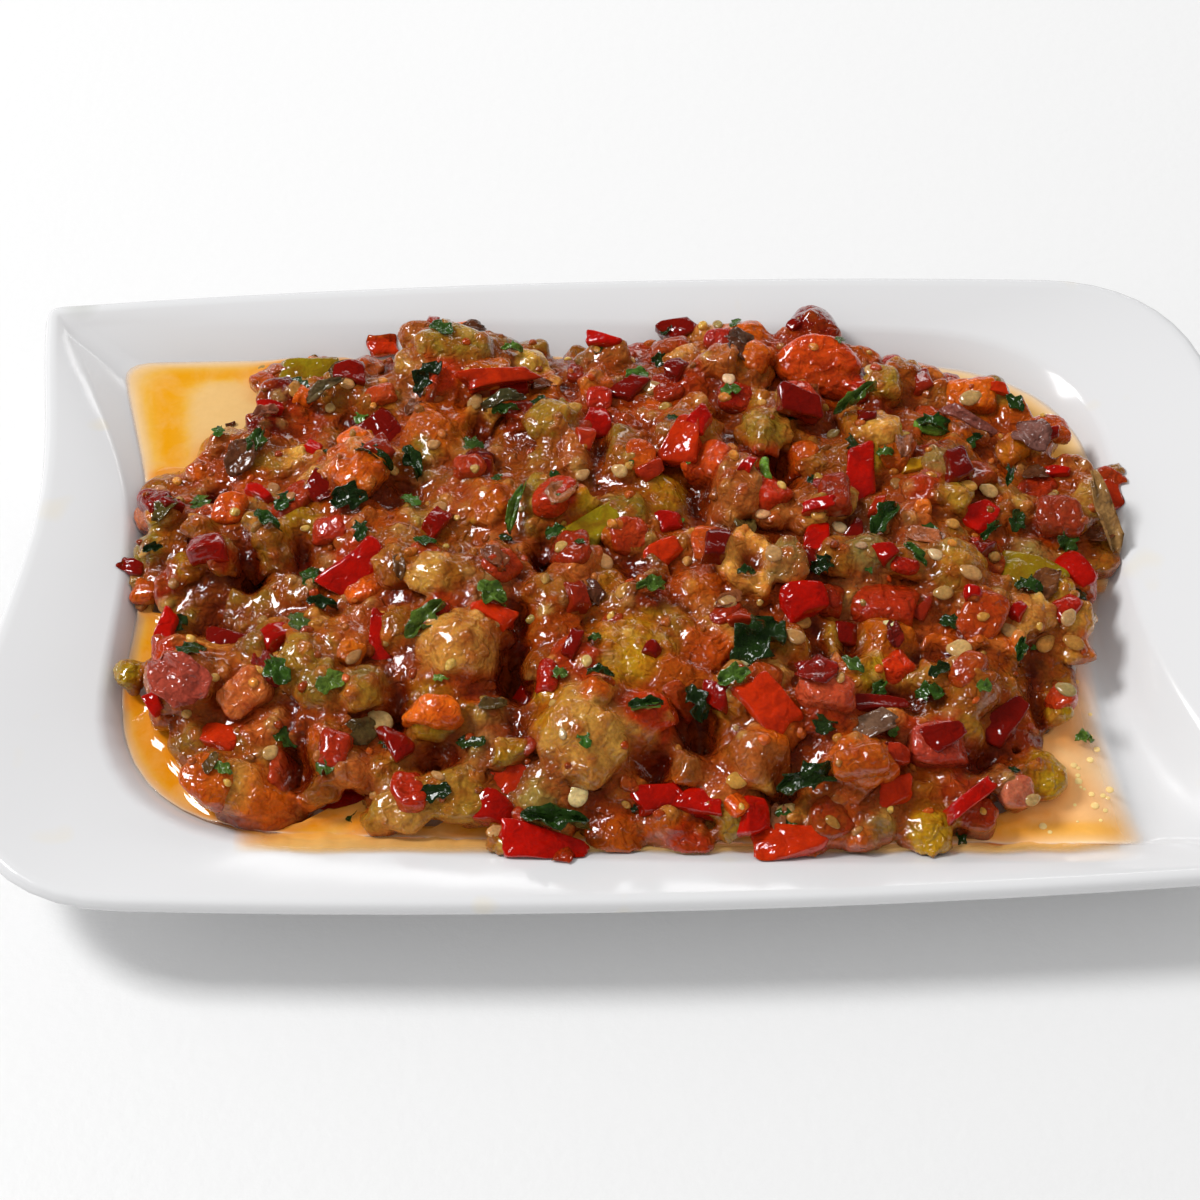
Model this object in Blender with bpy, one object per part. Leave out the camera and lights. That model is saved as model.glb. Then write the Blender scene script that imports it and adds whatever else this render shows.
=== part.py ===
"""Eggplant salad in its white serving dish.

Three solids: the dish, the oil pooled in it and the heap of chopped salad.
Lengths are metres, +Z is up and the origin lies under the middle of the foot.
The dish has half-turn symmetry: the back-left corner is sharp and the
front-left one is round, and the right end is the left end turned by 180 degrees.
"""
import math
import random

import bmesh
import bpy
from mathutils import Euler, Matrix, Vector, noise
from mathutils.bvhtree import BVHTree

MM = 0.001
GAP = 0.3 * MM            # clearance between pieces that touch

# Heights above the table
RIM_HEIGHT = 20.0 * MM
CREASE_HEIGHT = RIM_HEIGHT - 2.1 * MM
OIL_LEVEL = 13.2 * MM
PANEL_HEIGHT = 11.8 * MM  # raised flat panel in the middle of the floor
MOAT_HEIGHT = 9.8 * MM
FOOT_HEIGHT = 5.6 * MM
FOOT_WIDTH = 4.0 * MM
FOOT_SHARE = 0.90         # of the panel
LIP_DEPTH = 3.4 * MM
EDGE_ROUND = 0.5 * MM     # step of the rounded edges on the foot, lip, crease and panel
MOAT_SIDE = 0.32          # of the way from the wall to the panel, where the moat's bottom starts
MOAT_RISE = 0.9 * MM      # the moat's height there

# Plan outlines of the dish, each by the points of its left half:
# sharp corner, waist and belly of the left side, shoulder of the back side
LIP_PLAN = {"sharp": (-111.6, 70.0), "waist": (-107.0, 20.0), "belly": (-113.0, -36.0),
            "shoulder": (84.0, 70.6), "lean": 0.25, "bow": 4.0, "radius": 3.6}
CREASE_PLAN = {"sharp": (-107.5, 66.0), "waist": (-89.5, 5.0), "belly": (-90.3, -25.0),
               "shoulder": (55.6, 58.8), "lean": 0.44, "bow": 2.6, "radius": 4.0}
OIL_PLAN = {"sharp": (-96.6, 59.6), "waist": (-87.0, 8.0), "belly": (-88.2, -22.0),
            "shoulder": (55.6, 53.8), "lean": 0.40, "bow": 1.6, "radius": 5.0}
PANEL_PLAN = {"sharp": (-83.0, 54.6), "waist": (-79.0, 8.0), "belly": (-80.0, -18.0),
              "shoulder": (50.0, 47.0), "lean": 0.30, "bow": 1.4, "radius": 7.0}
CORNER_HANDLE = 0.62      # of the span, on the round corners
SIDE_HANDLE = 0.33        # of the span, on the long curves
STEPS = {"round corner": 10, "back side": 12, "sharp corner": 4, "upper left": 7, "lower left": 6}

# The oil doesn't reach the right end of the floor: it stops along this line, in millimetres
DRY_EDGE = [(86.0, -4.0), (82.0, -20.0), (82.0, -36.0), (83.5, -48.0), (86.5, -64.0)]
CUTTER_REACH = 20.0 * MM

# A fleck of parsley that floats on the oil: its place in millimetres, and its size
FLECK_PLACE = (77.5, -38.5)
FLECK_SIZE = (4.0 * MM, 3.2 * MM, 0.7 * MM)

# The heap: its outline at the level of the oil, in millimetres, clockwise from the back left
HEAP_OUTLINE = [(-62, 52), (-50, 54), (-34, 57), (-18, 55), (-9, 51), (14, 56), (38, 55),
                (51, 49), (63, 44), (73, 35), (85, 19), (86, 6), (80, -8), (79, -22), (74, -33),
                (65, -41), (65, -50), (50, -56), (28, -58), (4, -55), (-18, -57), (-38, -52),
                (-52, -45), (-66, -47), (-76, -33), (-85, -25), (-82, -9), (-87, 5),
                (-84, 20), (-74, 32), (-65, 43)]
CORE_INSET = 2.0 * MM     # the core is this much smaller, and the pieces make up the rest
CORE_RISE = 9.8 * MM      # from the oil to the core's top
CORE_COLUMNS = 60
CORE_RINGS = 10
RING_SPREAD = 1.3         # over 1 draws the rings closer together at the edge
CORE_SIDE = 1.5 * MM      # height of the core's upright side above the oil
CORE_FLATNESS = 5.0       # a higher power gives a flatter top and steeper sides
CORE_LUMPS = 2.8 * MM     # rounded swellings all over the core's top
CORE_LUMP_SPAN = 15.0 * MM
EDGE_SIZE = (9.5, 8.0, 6.0)
EDGE_SPACING = 8.5 * MM
EDGE_INSET = 3.5 * MM
BLOCK_SKEW = 0.12         # of the width
LUMP_SWELL = 0.40
FLAT_STEP = 0.02 * MM     # keeps flattened undersides from lying in one plane

# Large pieces that shape the heap: name, form, place, size and turn, in millimetres and degrees
LANDMARKS = [("green_pepper", "block", (-63, 54), (15.0, 9.0, 4.0), 12),
             ("back_lump", "lump", (-33, 51), (20.0, 14.0, 14.0), 10),
             ("back_strip", "block", (-20, 45), (15.0, 6.0, 5.0), 5),
             ("red_tip", "block", (13, 53), (14.0, 8.0, 8.0), 40),
             ("back_tomato", "lump", (38, 48), (17.0, 12.0, 12.0), -20),
             ("seeded_tomato", "lump", (65, 39), (15.0, 12.0, 10.0), 20),
             ("curled_strip", "block", (86, 12), (16.0, 5.0, 5.0), 80),
             ("skin_lump", "lump", (-78, -22), (17.0, 13.0, 10.0), 60),
             ("front_left_lump", "lump", (-66, -42), (14.0, 12.0, 9.0), 30),
             ("big_block", "lump", (-30, -12), (15.0, 13.0, 10.0), 0),
             ("pale_lump", "lump", (-8, -34), (18.0, 14.0, 11.0), 20),
             ("tall_lump", "lump", (22, -8), (18.0, 13.0, 11.0), 70),
             ("front_pepper", "block", (-17, -57), (14.0, 8.0, 4.0), -8),
             ("red_block", "block", (31, -57), (12.0, 8.0, 6.0), 5),
             ("upright_pepper", "block", (45, 26), (13.0, 6.0, 5.0), 75)]

# Small pieces: name, form, count, spacing, size in millimetres, unevenness and sunk share
SCATTER = [("pulp", "lump", 78, 10.5, (13.0, 10.0, 6.5), 0.30, 0.40),
           ("tomato", "block", 30, 13.0, (10.0, 8.0, 6.0), 0.25, 0.50),
           ("pepper", "block", 40, 10.0, (9.0, 5.5, 3.5), 0.30, 0.35),
           ("parsley", "leaf", 16, 16.0, (8.0, 5.0, 0.8), 0.25, -0.60),
           ("seed", "seed", 16, 14.0, (3.9, 3.5, 1.4), 0.08, -0.30)]

SLIVER_ANGLE = 0.05       # faces flatter than this to each other are joined after a cut
HEAP_TRIANGLES = 7400
SEED = 11                 # of every random draw


def plan_vector(point):
    """A plan point in millimetres as a flat vector in metres."""
    return Vector((point[0] * MM, point[1] * MM, 0.0))


def bezier(start, handle_a, handle_b, end, steps):
    """Points along a cubic curve, without its last one."""
    points = []
    for step in range(steps):
        t = step / steps
        s = 1.0 - t
        points.append(start * s ** 3 + handle_a * (3 * s * s * t)
                      + handle_b * (3 * s * t * t) + end * t ** 3)
    return points


def dish_outline(plan):
    """One closed ring of the dish, anticlockwise from the right-hand belly."""
    sharp, waist, belly, shoulder = (plan_vector(plan[name])
                                     for name in ("sharp", "waist", "belly", "shoulder"))
    turned_belly = -belly
    bow = plan["bow"] * MM
    radius = plan["radius"] * MM

    # The back side runs from its shoulder to just before the sharp corner
    back_end = sharp + (shoulder - sharp).normalized() * radius
    span = shoulder.x - back_end.x
    back_lean = Vector((-SIDE_HANDLE * span, bow + SIDE_HANDLE * (back_end.y - shoulder.y), 0.0))
    back_handle = Vector((SIDE_HANDLE * span, bow - SIDE_HANDLE * (back_end.y - shoulder.y), 0.0))

    rise = shoulder.y - turned_belly.y
    reach = turned_belly.x - shoulder.x
    corner_tangent = -back_lean.normalized() * CORNER_HANDLE * reach

    drop = Vector(((waist.x - sharp.x) * plan["lean"], (waist.y - sharp.y) * SIDE_HANDLE, 0.0))
    left_start = sharp + drop.normalized() * radius
    down = Vector((0.0, 1.0, 0.0))

    half = bezier(turned_belly, turned_belly + down * CORNER_HANDLE * rise,
                  shoulder + corner_tangent, shoulder, STEPS["round corner"])
    half += bezier(shoulder, shoulder + back_lean, back_end + back_handle, back_end,
                   STEPS["back side"])
    half += bezier(back_end, back_end.lerp(sharp, 0.6), left_start.lerp(sharp, 0.6), left_start,
                   STEPS["sharp corner"])
    half += bezier(left_start, left_start + drop, waist + down * SIDE_HANDLE * (sharp.y - waist.y),
                   waist, STEPS["upper left"])
    half += bezier(waist, waist - down * SIDE_HANDLE * (waist.y - belly.y),
                   belly + down * SIDE_HANDLE * (waist.y - belly.y), belly, STEPS["lower left"])
    return half + [-point for point in half]


def blend(outline_a, outline_b, share):
    """The ring that lies the given share of the way from one outline to another."""
    return [a.lerp(b, share) for a, b in zip(outline_a, outline_b)]


def scaled(outline, factor):
    return [point * factor for point in outline]


def inset(outline, distance):
    """Every point moved inwards, square to the ring."""
    moved = []
    for index, point in enumerate(outline):
        along = (outline[(index + 1) % len(outline)] - outline[index - 1]).normalized()
        moved.append(point + Vector((-along.y, along.x, 0.0)) * distance)
    return moved


def level(outline, height):
    """The outline as a ring at one height."""
    return [Vector((point.x, point.y, height)) for point in outline]


def loft(name, rings):
    """A closed solid through rings of equal length, its two ends closed by fans."""
    shape = bmesh.new()
    loops = [[shape.verts.new(point) for point in ring] for ring in rings]
    for lower, upper in zip(loops, loops[1:]):
        for index in range(len(lower)):
            shape.faces.new((lower[index - 1], lower[index], upper[index], upper[index - 1]))
    for loop, ring in ((loops[0], rings[0]), (loops[-1], rings[-1])):
        middle = shape.verts.new(sum(ring, Vector()) / len(ring))
        for index in range(len(loop)):
            shape.faces.new((loop[index - 1], loop[index], middle))
    bmesh.ops.recalc_face_normals(shape, faces=shape.faces)
    bmesh.ops.triangulate(shape, faces=shape.faces)
    return new_object(name, shape)


def new_object(name, shape):
    """The bmesh as a new object, not yet in a collection."""
    mesh = bpy.data.meshes.new(name)
    shape.to_mesh(mesh)
    shape.free()
    return bpy.data.objects.new(name, mesh)


def material(name, colour, roughness):
    finish = bpy.data.materials.new(name)
    finish.use_nodes = True
    shader = finish.node_tree.nodes["Principled BSDF"]
    shader.inputs["Base Color"].default_value = (*colour, 1.0)
    shader.inputs["Roughness"].default_value = roughness
    shader.inputs["Metallic"].default_value = 0.0
    finish.diffuse_color = (*colour, 1.0)
    return finish


def shade(thing, finish, crease_angle):
    thing.data.materials.clear()
    thing.data.materials.append(finish)
    thing.data.shade_smooth()
    thing.data.set_sharp_from_angle(angle=math.radians(crease_angle))


def make_dish():
    """From the middle of the underside out, up over the lip and back in over the flange."""
    lip = dish_outline(LIP_PLAN)
    crease = dish_outline(CREASE_PLAN)
    wall = dish_outline(OIL_PLAN)
    panel = dish_outline(PANEL_PLAN)
    foot = scaled(panel, FOOT_SHARE)
    foot_inside = inset(foot, FOOT_WIDTH)
    edge = EDGE_ROUND

    underside = [level(scaled(foot_inside, 0.96), FOOT_HEIGHT - edge),
                 level(foot_inside, FOOT_HEIGHT - 3.0 * edge),
                 level(foot_inside, edge),
                 level(inset(foot_inside, -edge), 0.0),
                 level(inset(foot, edge), 0.0),
                 level(foot, edge),
                 level(inset(foot, -edge), FOOT_HEIGHT - 2.0 * edge),
                 level(blend(foot, panel, 0.4), FOOT_HEIGHT),
                 level(blend(wall, panel, 0.45), FOOT_HEIGHT + 2.0 * edge),
                 level(wall, MOAT_HEIGHT),
                 level(blend(crease, wall, 0.4), OIL_LEVEL - edge),
                 level(blend(lip, crease, 0.75), CREASE_HEIGHT - LIP_DEPTH),
                 level(inset(lip, 3.2 * edge), RIM_HEIGHT - LIP_DEPTH)]
    lip_round = [level(inset(lip, edge), RIM_HEIGHT - 0.80 * LIP_DEPTH),
                 level(lip, RIM_HEIGHT - 0.50 * LIP_DEPTH),
                 level(inset(lip, edge), RIM_HEIGHT - 0.13 * LIP_DEPTH),
                 level(inset(lip, 3.0 * edge), RIM_HEIGHT),
                 level(inset(lip, 5.4 * edge), RIM_HEIGHT - 0.14 * LIP_DEPTH)]
    inside = [level(blend(lip, crease, 0.93), CREASE_HEIGHT + 0.5 * edge),
              level(blend(crease, wall, 0.12), CREASE_HEIGHT - 1.4 * edge),
              level(wall, OIL_LEVEL),
              level(blend(wall, panel, MOAT_SIDE), MOAT_HEIGHT + MOAT_RISE),
              level(blend(wall, panel, 0.55), MOAT_HEIGHT),
              level(blend(wall, panel, 0.85), MOAT_HEIGHT + 0.6 * edge),
              level(panel, PANEL_HEIGHT - 0.8 * edge),
              level(inset(panel, 3.2 * edge), PANEL_HEIGHT)]
    return loft("dish", underside + lip_round + inside)


def make_pool():
    """The oil before it is cut: level on top, and just clear of the dish below."""
    wall = dish_outline(OIL_PLAN)
    panel = dish_outline(PANEL_PLAN)
    clear = 1.5 * GAP
    moat_side = inset(blend(wall, panel, MOAT_SIDE), clear)
    return loft("oil", [level(inset(wall, clear), OIL_LEVEL),
                        level(moat_side, MOAT_HEIGHT + MOAT_RISE + clear),
                        level(blend(wall, panel, 0.57), MOAT_HEIGHT + clear),
                        level(blend(wall, panel, 0.80), MOAT_HEIGHT + clear + GAP),
                        level(inset(panel, -clear), PANEL_HEIGHT - 0.8 * EDGE_ROUND + clear),
                        level(inset(panel, 5.0 * clear), PANEL_HEIGHT + clear)])


def heap_reach(angle):
    """How far the heap reaches from its middle in one direction."""
    toward = Vector((math.cos(angle), math.sin(angle), 0.0))
    corners = [plan_vector(point) for point in HEAP_OUTLINE]
    reach = 0.0
    for start, end in zip(corners, corners[1:] + corners[:1]):
        side = end - start
        across = toward.cross(side).z
        if abs(across) > 1e-9:
            distance = start.cross(side).z / across
            share = start.cross(toward).z / across
            if distance > 0.0 and 0.0 <= share <= 1.0:
                reach = max(reach, distance)
    return reach


def core_edge(grow):
    """The core's outline, drawn in from the heap's and grown by a clearance."""
    edge = []
    for column in range(CORE_COLUMNS):
        angle = 2.0 * math.pi * column / CORE_COLUMNS
        reach = heap_reach(angle) - CORE_INSET + grow
        edge.append(Vector((math.cos(angle), math.sin(angle), 0.0)) * reach)
    return edge


def core_top(point, share):
    """The point lifted to the core's lumpy top; the share is 1 at the core's edge."""
    nearest = noise.voronoi(point / CORE_LUMP_SPAN)[0][0]
    swelling = CORE_LUMPS * max(0.0, 1.0 - 1.8 * nearest ** 2) * (1.0 - share ** 4)
    rise = CORE_RISE * (1.0 - share ** CORE_FLATNESS) ** 0.5
    return Vector((point.x, point.y, OIL_LEVEL + rise + swelling))


def make_core():
    edge = core_edge(0.0)
    base = PANEL_HEIGHT + 1.5 * GAP
    rings = [level(edge, base), level(edge, OIL_LEVEL + CORE_SIDE)]
    for ring in range(1, CORE_RINGS):
        share = 1.0 - (ring / CORE_RINGS) ** RING_SPREAD
        rings.append([core_top(point, share) for point in scaled(edge, share)])
    return loft("salad", rings)


def make_core_cutter():
    """Takes the core's place, with its clearance, out of the oil."""
    edge = core_edge(1.5 * GAP)
    return loft("core_cutter", [level(edge, PANEL_HEIGHT - GAP), level(edge, RIM_HEIGHT)])


def make_dry_cutter():
    """Takes away the oil beyond the line where it stops."""
    near = [plan_vector(point) for point in DRY_EDGE]
    far = [point + Vector((CUTTER_REACH, 0.0, 0.0)) for point in reversed(near)]
    return loft("dry_cutter", [level(near + far, 0.0), level(near + far, RIM_HEIGHT)])


def grown_copy(thing, distance):
    """The object's shape a little larger all round, to cut a clearance with."""
    mesh = thing.data.copy()
    for vertex, original in zip(mesh.vertices, thing.data.vertices):
        vertex.co = original.co + original.normal * distance
    return bpy.data.objects.new(thing.name + "_clearance", mesh)


def cut(thing, cutter, cutters, solver="EXACT"):
    """Take a cutter out of an object, and keep it hidden among the cutters."""
    cutters.objects.link(cutter)
    cutter.hide_render = True
    cutter.display_type = "WIRE"
    apply_boolean(thing, "DIFFERENCE", object=cutter, solver=solver)


def block(name, length, width, height, rng):
    """A cut piece of pepper or tomato: a box with its corners out of true."""
    shape = bmesh.new()
    bmesh.ops.create_cube(shape, size=1.0)
    bmesh.ops.scale(shape, vec=(length, width, height), verts=shape.verts)
    for vertex in shape.verts:
        vertex.co += Vector([rng.uniform(-1.0, 1.0) for _ in range(3)]) * BLOCK_SKEW * width
    bmesh.ops.triangulate(shape, faces=shape.faces)
    return new_object(name, shape)


def lump(name, length, width, height, rng):
    """A soft piece of pulp: a coarse ball with uneven swellings."""
    shape = bmesh.new()
    bmesh.ops.create_uvsphere(shape, u_segments=6, v_segments=4, radius=0.54)
    start = Vector([rng.uniform(0.0, 50.0) for _ in range(3)])
    for vertex in shape.verts:
        vertex.co *= 1.0 + LUMP_SWELL * noise.noise(start + vertex.co * 3.0)
    bmesh.ops.scale(shape, vec=(length, width, height), verts=shape.verts)
    bmesh.ops.triangulate(shape, faces=shape.faces)
    return new_object(name, shape)


def leaf(name, length, width, height, rng):
    """A thin wavy leaf, pointed at both ends, with the same triangles on both faces."""
    shape = bmesh.new()
    bmesh.ops.create_grid(shape, x_segments=3, y_segments=2, size=0.5)
    turn = rng.uniform(0.0, 6.0)
    for vertex in shape.verts:
        across = 1.0 - 0.75 * abs(2.0 * vertex.co.x) ** 1.5
        wave = 0.16 * width * math.sin(7.0 * vertex.co.x + 5.0 * vertex.co.y + turn)
        vertex.co = Vector((vertex.co.x * length, vertex.co.y * width * across, wave))
    bmesh.ops.triangulate(shape, faces=shape.faces)
    upper = bmesh.ops.extrude_face_region(shape, geom=shape.faces, use_keep_orig=True)["geom"]
    bmesh.ops.translate(shape, vec=(0.0, 0.0, height),
                        verts=[part for part in upper if isinstance(part, bmesh.types.BMVert)])
    bmesh.ops.recalc_face_normals(shape, faces=shape.faces)
    bmesh.ops.triangulate(shape, faces=shape.faces)
    return new_object(name, shape)


def seed(name, length, width, height, rng):
    shape = bmesh.new()
    bmesh.ops.create_icosphere(shape, subdivisions=1, radius=0.5)
    bmesh.ops.scale(shape, vec=(length, width, height), verts=shape.verts)
    return new_object(name, shape)


MAKERS = {"block": block, "lump": lump, "leaf": leaf, "seed": seed}


def surface_tree(thing):
    """A search tree over an object's faces."""
    points = [vertex.co.copy() for vertex in thing.data.vertices]
    return BVHTree.FromPolygons(points, [list(face.vertices) for face in thing.data.polygons])


def drop_on(tree, x, y):
    """The first surface point below a place, and its normal."""
    place, normal, _, _ = tree.ray_cast(Vector((x, y, 3.0 * RIM_HEIGHT)), Vector((0.0, 0.0, -1.0)))
    return place, normal


def settle(piece, ground):
    """Lift a piece and flatten its underside so that it stays above oil and dish."""
    lift = 0.0
    rests = []
    middle = sum((vertex.co.z for vertex in piece.data.vertices), 0.0) / len(piece.data.vertices)
    for vertex in piece.data.vertices:
        place, _ = drop_on(ground, vertex.co.x, vertex.co.y)
        rest = max(place.z, OIL_LEVEL) + 1.5 * GAP
        rests.append(rest)
        if vertex.co.z > middle:
            lift = max(lift, rest + GAP - vertex.co.z)
    for vertex, rest in zip(piece.data.vertices, rests):
        vertex.co.z = max(vertex.co.z + lift, rest + FLAT_STEP * (vertex.index % 3))


def place_piece(piece, x, y, turn, tilt, sink, height, core, ground):
    """Lay a piece on the core, turned and tilted, with a share of its height sunk in."""
    spot, normal = drop_on(core, x, y)
    if spot is None:
        spot = Vector((x, y, OIL_LEVEL))
        normal = Vector((0.0, 0.0, 1.0))
    lean = Vector((0.0, 0.0, 1.0)).lerp(normal, 0.7).normalized()
    stand = lean.to_track_quat("Z", "Y").to_matrix().to_4x4()
    roll = Euler((tilt[0], tilt[1], turn)).to_matrix().to_4x4()
    offset = Matrix.Translation(spot + lean * height * (0.5 - sink))
    piece.data.transform(offset @ stand @ roll)
    settle(piece, ground)


def spread_places(rng, count, spacing):
    """Places over the whole heap, no two closer than the spacing."""
    places = []
    for _ in range(60 * count):
        angle = rng.uniform(0.0, 2.0 * math.pi)
        share = math.sqrt(rng.random())
        reach = (heap_reach(angle) - CORE_INSET) * share
        spot = Vector((reach * math.cos(angle), reach * math.sin(angle), 0.0))
        if all((spot - other).length > spacing for other in places):
            places.append(spot)
        if len(places) == count:
            break
    return places


def edge_places():
    """Places along the heap's outline, about one edge piece apart."""
    corners = [plan_vector(point) for point in HEAP_OUTLINE]
    places = []
    for start, end in zip(corners, corners[1:] + corners[:1]):
        count = max(1, round((end - start).length / EDGE_SPACING))
        places += [start.lerp(end, step / count) for step in range(count)]
    return places


def salad_pieces(core, ground):
    """Every piece that shows: the edge, then the big ones, then the small ones."""
    rng = random.Random(SEED)
    pieces = []

    def add(form, name, spot, size, sink, swing=0.35, turn=None):
        piece = MAKERS[form]("%s_%03d" % (name, len(pieces)), *size, rng)
        tilt = (rng.uniform(-swing, swing), rng.uniform(-swing, swing))
        if turn is None:
            turn = rng.uniform(0.0, 2.0 * math.pi)
        place_piece(piece, spot.x, spot.y, turn, tilt, sink, size[2], core, ground)
        pieces.append(piece)

    for spot in edge_places():
        grow = rng.uniform(0.75, 1.25)
        size = [side * grow * MM for side in EDGE_SIZE]
        add("lump", "edge", spot - spot.normalized() * EDGE_INSET, size, 0.25, 0.2)
    for name, form, place, size, turn in LANDMARKS:
        add(form, name, plan_vector(place), [side * MM for side in size], 0.3, 0.1,
            math.radians(turn))
    for name, form, count, spacing, size, spread, sink in SCATTER:
        for spot in spread_places(rng, count, spacing * MM):
            grow = rng.uniform(1.0 - spread, 1.0 + spread)
            add(form, name, spot, [side * grow * MM for side in size], sink)
    return pieces


def apply_boolean(thing, operation, **options):
    """Run one Boolean on an object and keep its result as the object's own mesh."""
    modifier = thing.modifiers.new(operation.lower(), "BOOLEAN")
    modifier.operation = operation
    for name, value in options.items():
        setattr(modifier, name, value)
    evaluated = thing.evaluated_get(bpy.context.evaluated_depsgraph_get())
    result = bpy.data.meshes.new_from_object(evaluated)
    thing.modifiers.clear()
    thing.data = result


def keep_largest_body(thing):
    """Drop loose scraps, and fill hollows by dropping their inner skins."""
    shape = bmesh.new()
    shape.from_mesh(thing.data)
    bmesh.ops.triangulate(shape, faces=shape.faces)
    waiting = set(shape.faces)
    bodies = []
    while waiting:
        start = waiting.pop()
        body = [start]
        front = [start]
        while front:
            face = front.pop()
            for edge in face.edges:
                for other in edge.link_faces:
                    if other in waiting:
                        waiting.remove(other)
                        body.append(other)
                        front.append(other)
        bodies.append(body)
    bodies.sort(key=len)
    for body in bodies[:-1]:
        bmesh.ops.delete(shape, geom=body, context="FACES")
    bmesh.ops.dissolve_limit(shape, angle_limit=math.radians(SLIVER_ANGLE),
                             verts=shape.verts, edges=shape.edges)
    bmesh.ops.triangulate(shape, faces=shape.faces)
    shape.to_mesh(thing.data)
    shape.free()


def oil_fleck():
    """The fleck, lying flat with its lower half in the oil."""
    piece = leaf("fleck", *FLECK_SIZE, random.Random(SEED))
    spot = plan_vector(FLECK_PLACE) + Vector((0.0, 0.0, OIL_LEVEL - 0.5 * FLECK_SIZE[2]))
    piece.data.transform(Matrix.Translation(spot))
    return piece


def fuse(thing, pieces):
    """Join pieces to an object by one union on a collection."""
    collection = bpy.data.collections.new(thing.name + "_pieces")
    bpy.context.scene.collection.children.link(collection)
    for piece in pieces:
        collection.objects.link(piece)
    apply_boolean(thing, "UNION", operand_type="COLLECTION", collection=collection,
                  solver="MANIFOLD")
    for piece in pieces:
        bpy.data.objects.remove(piece)
    bpy.data.collections.remove(collection)
    keep_largest_body(thing)


def thin_out(thing, budget):
    """Collapse the shortest edges that the union left, down to a number of triangles."""
    modifier = thing.modifiers.new("thin out", "DECIMATE")
    modifier.ratio = min(1.0, budget / len(thing.data.polygons))
    evaluated = thing.evaluated_get(bpy.context.evaluated_depsgraph_get())
    result = bpy.data.meshes.new_from_object(evaluated)
    thing.modifiers.clear()
    thing.data = result


def main():
    for thing in list(bpy.data.objects):
        bpy.data.objects.remove(thing)
    parts = bpy.data.collections.new("eggplant_salad")
    cutters = bpy.data.collections.new("cutters")
    bpy.context.scene.collection.children.link(parts)
    bpy.context.scene.collection.children.link(cutters)

    dish = make_dish()
    pool = make_pool()
    core = make_core()
    for thing in (dish, pool, core):
        parts.objects.link(thing)
    cut(pool, make_core_cutter(), cutters)
    cut(pool, make_dry_cutter(), cutters)
    fuse(pool, [oil_fleck()])
    fuse(core, salad_pieces(surface_tree(core), surface_tree(dish)))
    cut(core, grown_copy(dish, 1.3 * GAP), cutters, solver="MANIFOLD")
    keep_largest_body(core)
    thin_out(core, HEAP_TRIANGLES)

    shade(dish, material("white porcelain", (0.80, 0.80, 0.80), 0.12), 40.0)
    shade(pool, material("orange oil", (0.80, 0.40, 0.08), 0.08), 30.0)
    shade(core, material("chopped salad", (0.30, 0.10, 0.03), 0.30), 20.0)


main()
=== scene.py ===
# %% [markdown]
# # Eggplant salad in a white serving dish
# The real thing is a heap of chopped, roasted eggplant with tomato, red pepper and parsley, wet with
# orange oil, in a wavy white porcelain dish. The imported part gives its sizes: the dish, the oil and
# the heap as three plain solids. Everything below is built round them, in metres, in the same frame.
# The dish keeps its solid and only gets a glaze. The oil and the heap are replaced by finer pieces.

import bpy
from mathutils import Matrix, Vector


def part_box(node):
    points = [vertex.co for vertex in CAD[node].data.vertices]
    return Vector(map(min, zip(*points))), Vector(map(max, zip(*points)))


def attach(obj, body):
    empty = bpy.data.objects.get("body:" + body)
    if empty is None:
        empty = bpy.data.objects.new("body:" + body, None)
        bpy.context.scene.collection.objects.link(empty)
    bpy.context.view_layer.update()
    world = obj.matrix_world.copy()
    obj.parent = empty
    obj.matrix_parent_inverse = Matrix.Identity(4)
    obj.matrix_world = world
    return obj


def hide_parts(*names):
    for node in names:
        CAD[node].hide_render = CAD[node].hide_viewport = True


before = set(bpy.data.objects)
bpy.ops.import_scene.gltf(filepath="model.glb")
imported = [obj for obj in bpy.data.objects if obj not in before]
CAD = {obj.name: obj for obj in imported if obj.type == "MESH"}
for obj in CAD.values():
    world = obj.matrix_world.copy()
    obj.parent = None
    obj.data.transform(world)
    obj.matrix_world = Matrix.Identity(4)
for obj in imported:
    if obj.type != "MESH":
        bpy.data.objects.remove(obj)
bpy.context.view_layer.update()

# %% Tools used all through
import math
import random

import bpy
import numpy as np
from mathutils import Matrix, Vector, kdtree, noise
from mathutils.bvhtree import BVHTree

MM = 0.001
SEED = 7
rng = random.Random(SEED)
noise.seed_set(SEED)          # without it, the vector noise would differ from run to run
scene = bpy.context.scene
scene.view_settings.view_transform = "Standard"
print("working in", scene.view_settings.view_transform)

# %% [markdown]
# ## The camera
# The photo was taken from in front, 50 degrees above the table, with the camera turned a little on
# its own axis. Placing the camera first means that a piece can be put where the photo shows it: a
# ray from the camera through a pixel of the photo is followed until it meets a surface.

# %% Camera at the photo's angle
PHOTO_SIDE = 1200             # pixels; the photo is square
ELEVATION = math.radians(50.0)
ROLL = math.radians(-1.45)
LENS_MM, SENSOR_MM = 76.7, 36.0
CAMERA_PLACE = Vector((-0.0044, -0.29855, 0.36472))

level_right = Vector((1.0, 0.0, 0.0))
level_up = Vector((0.0, math.sin(ELEVATION), math.cos(ELEVATION)))
cam_right = level_right * math.cos(ROLL) + level_up * math.sin(ROLL)
cam_up = -level_right * math.sin(ROLL) + level_up * math.cos(ROLL)
cam_back = -Vector((0.0, math.cos(ELEVATION), -math.sin(ELEVATION)))

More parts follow.
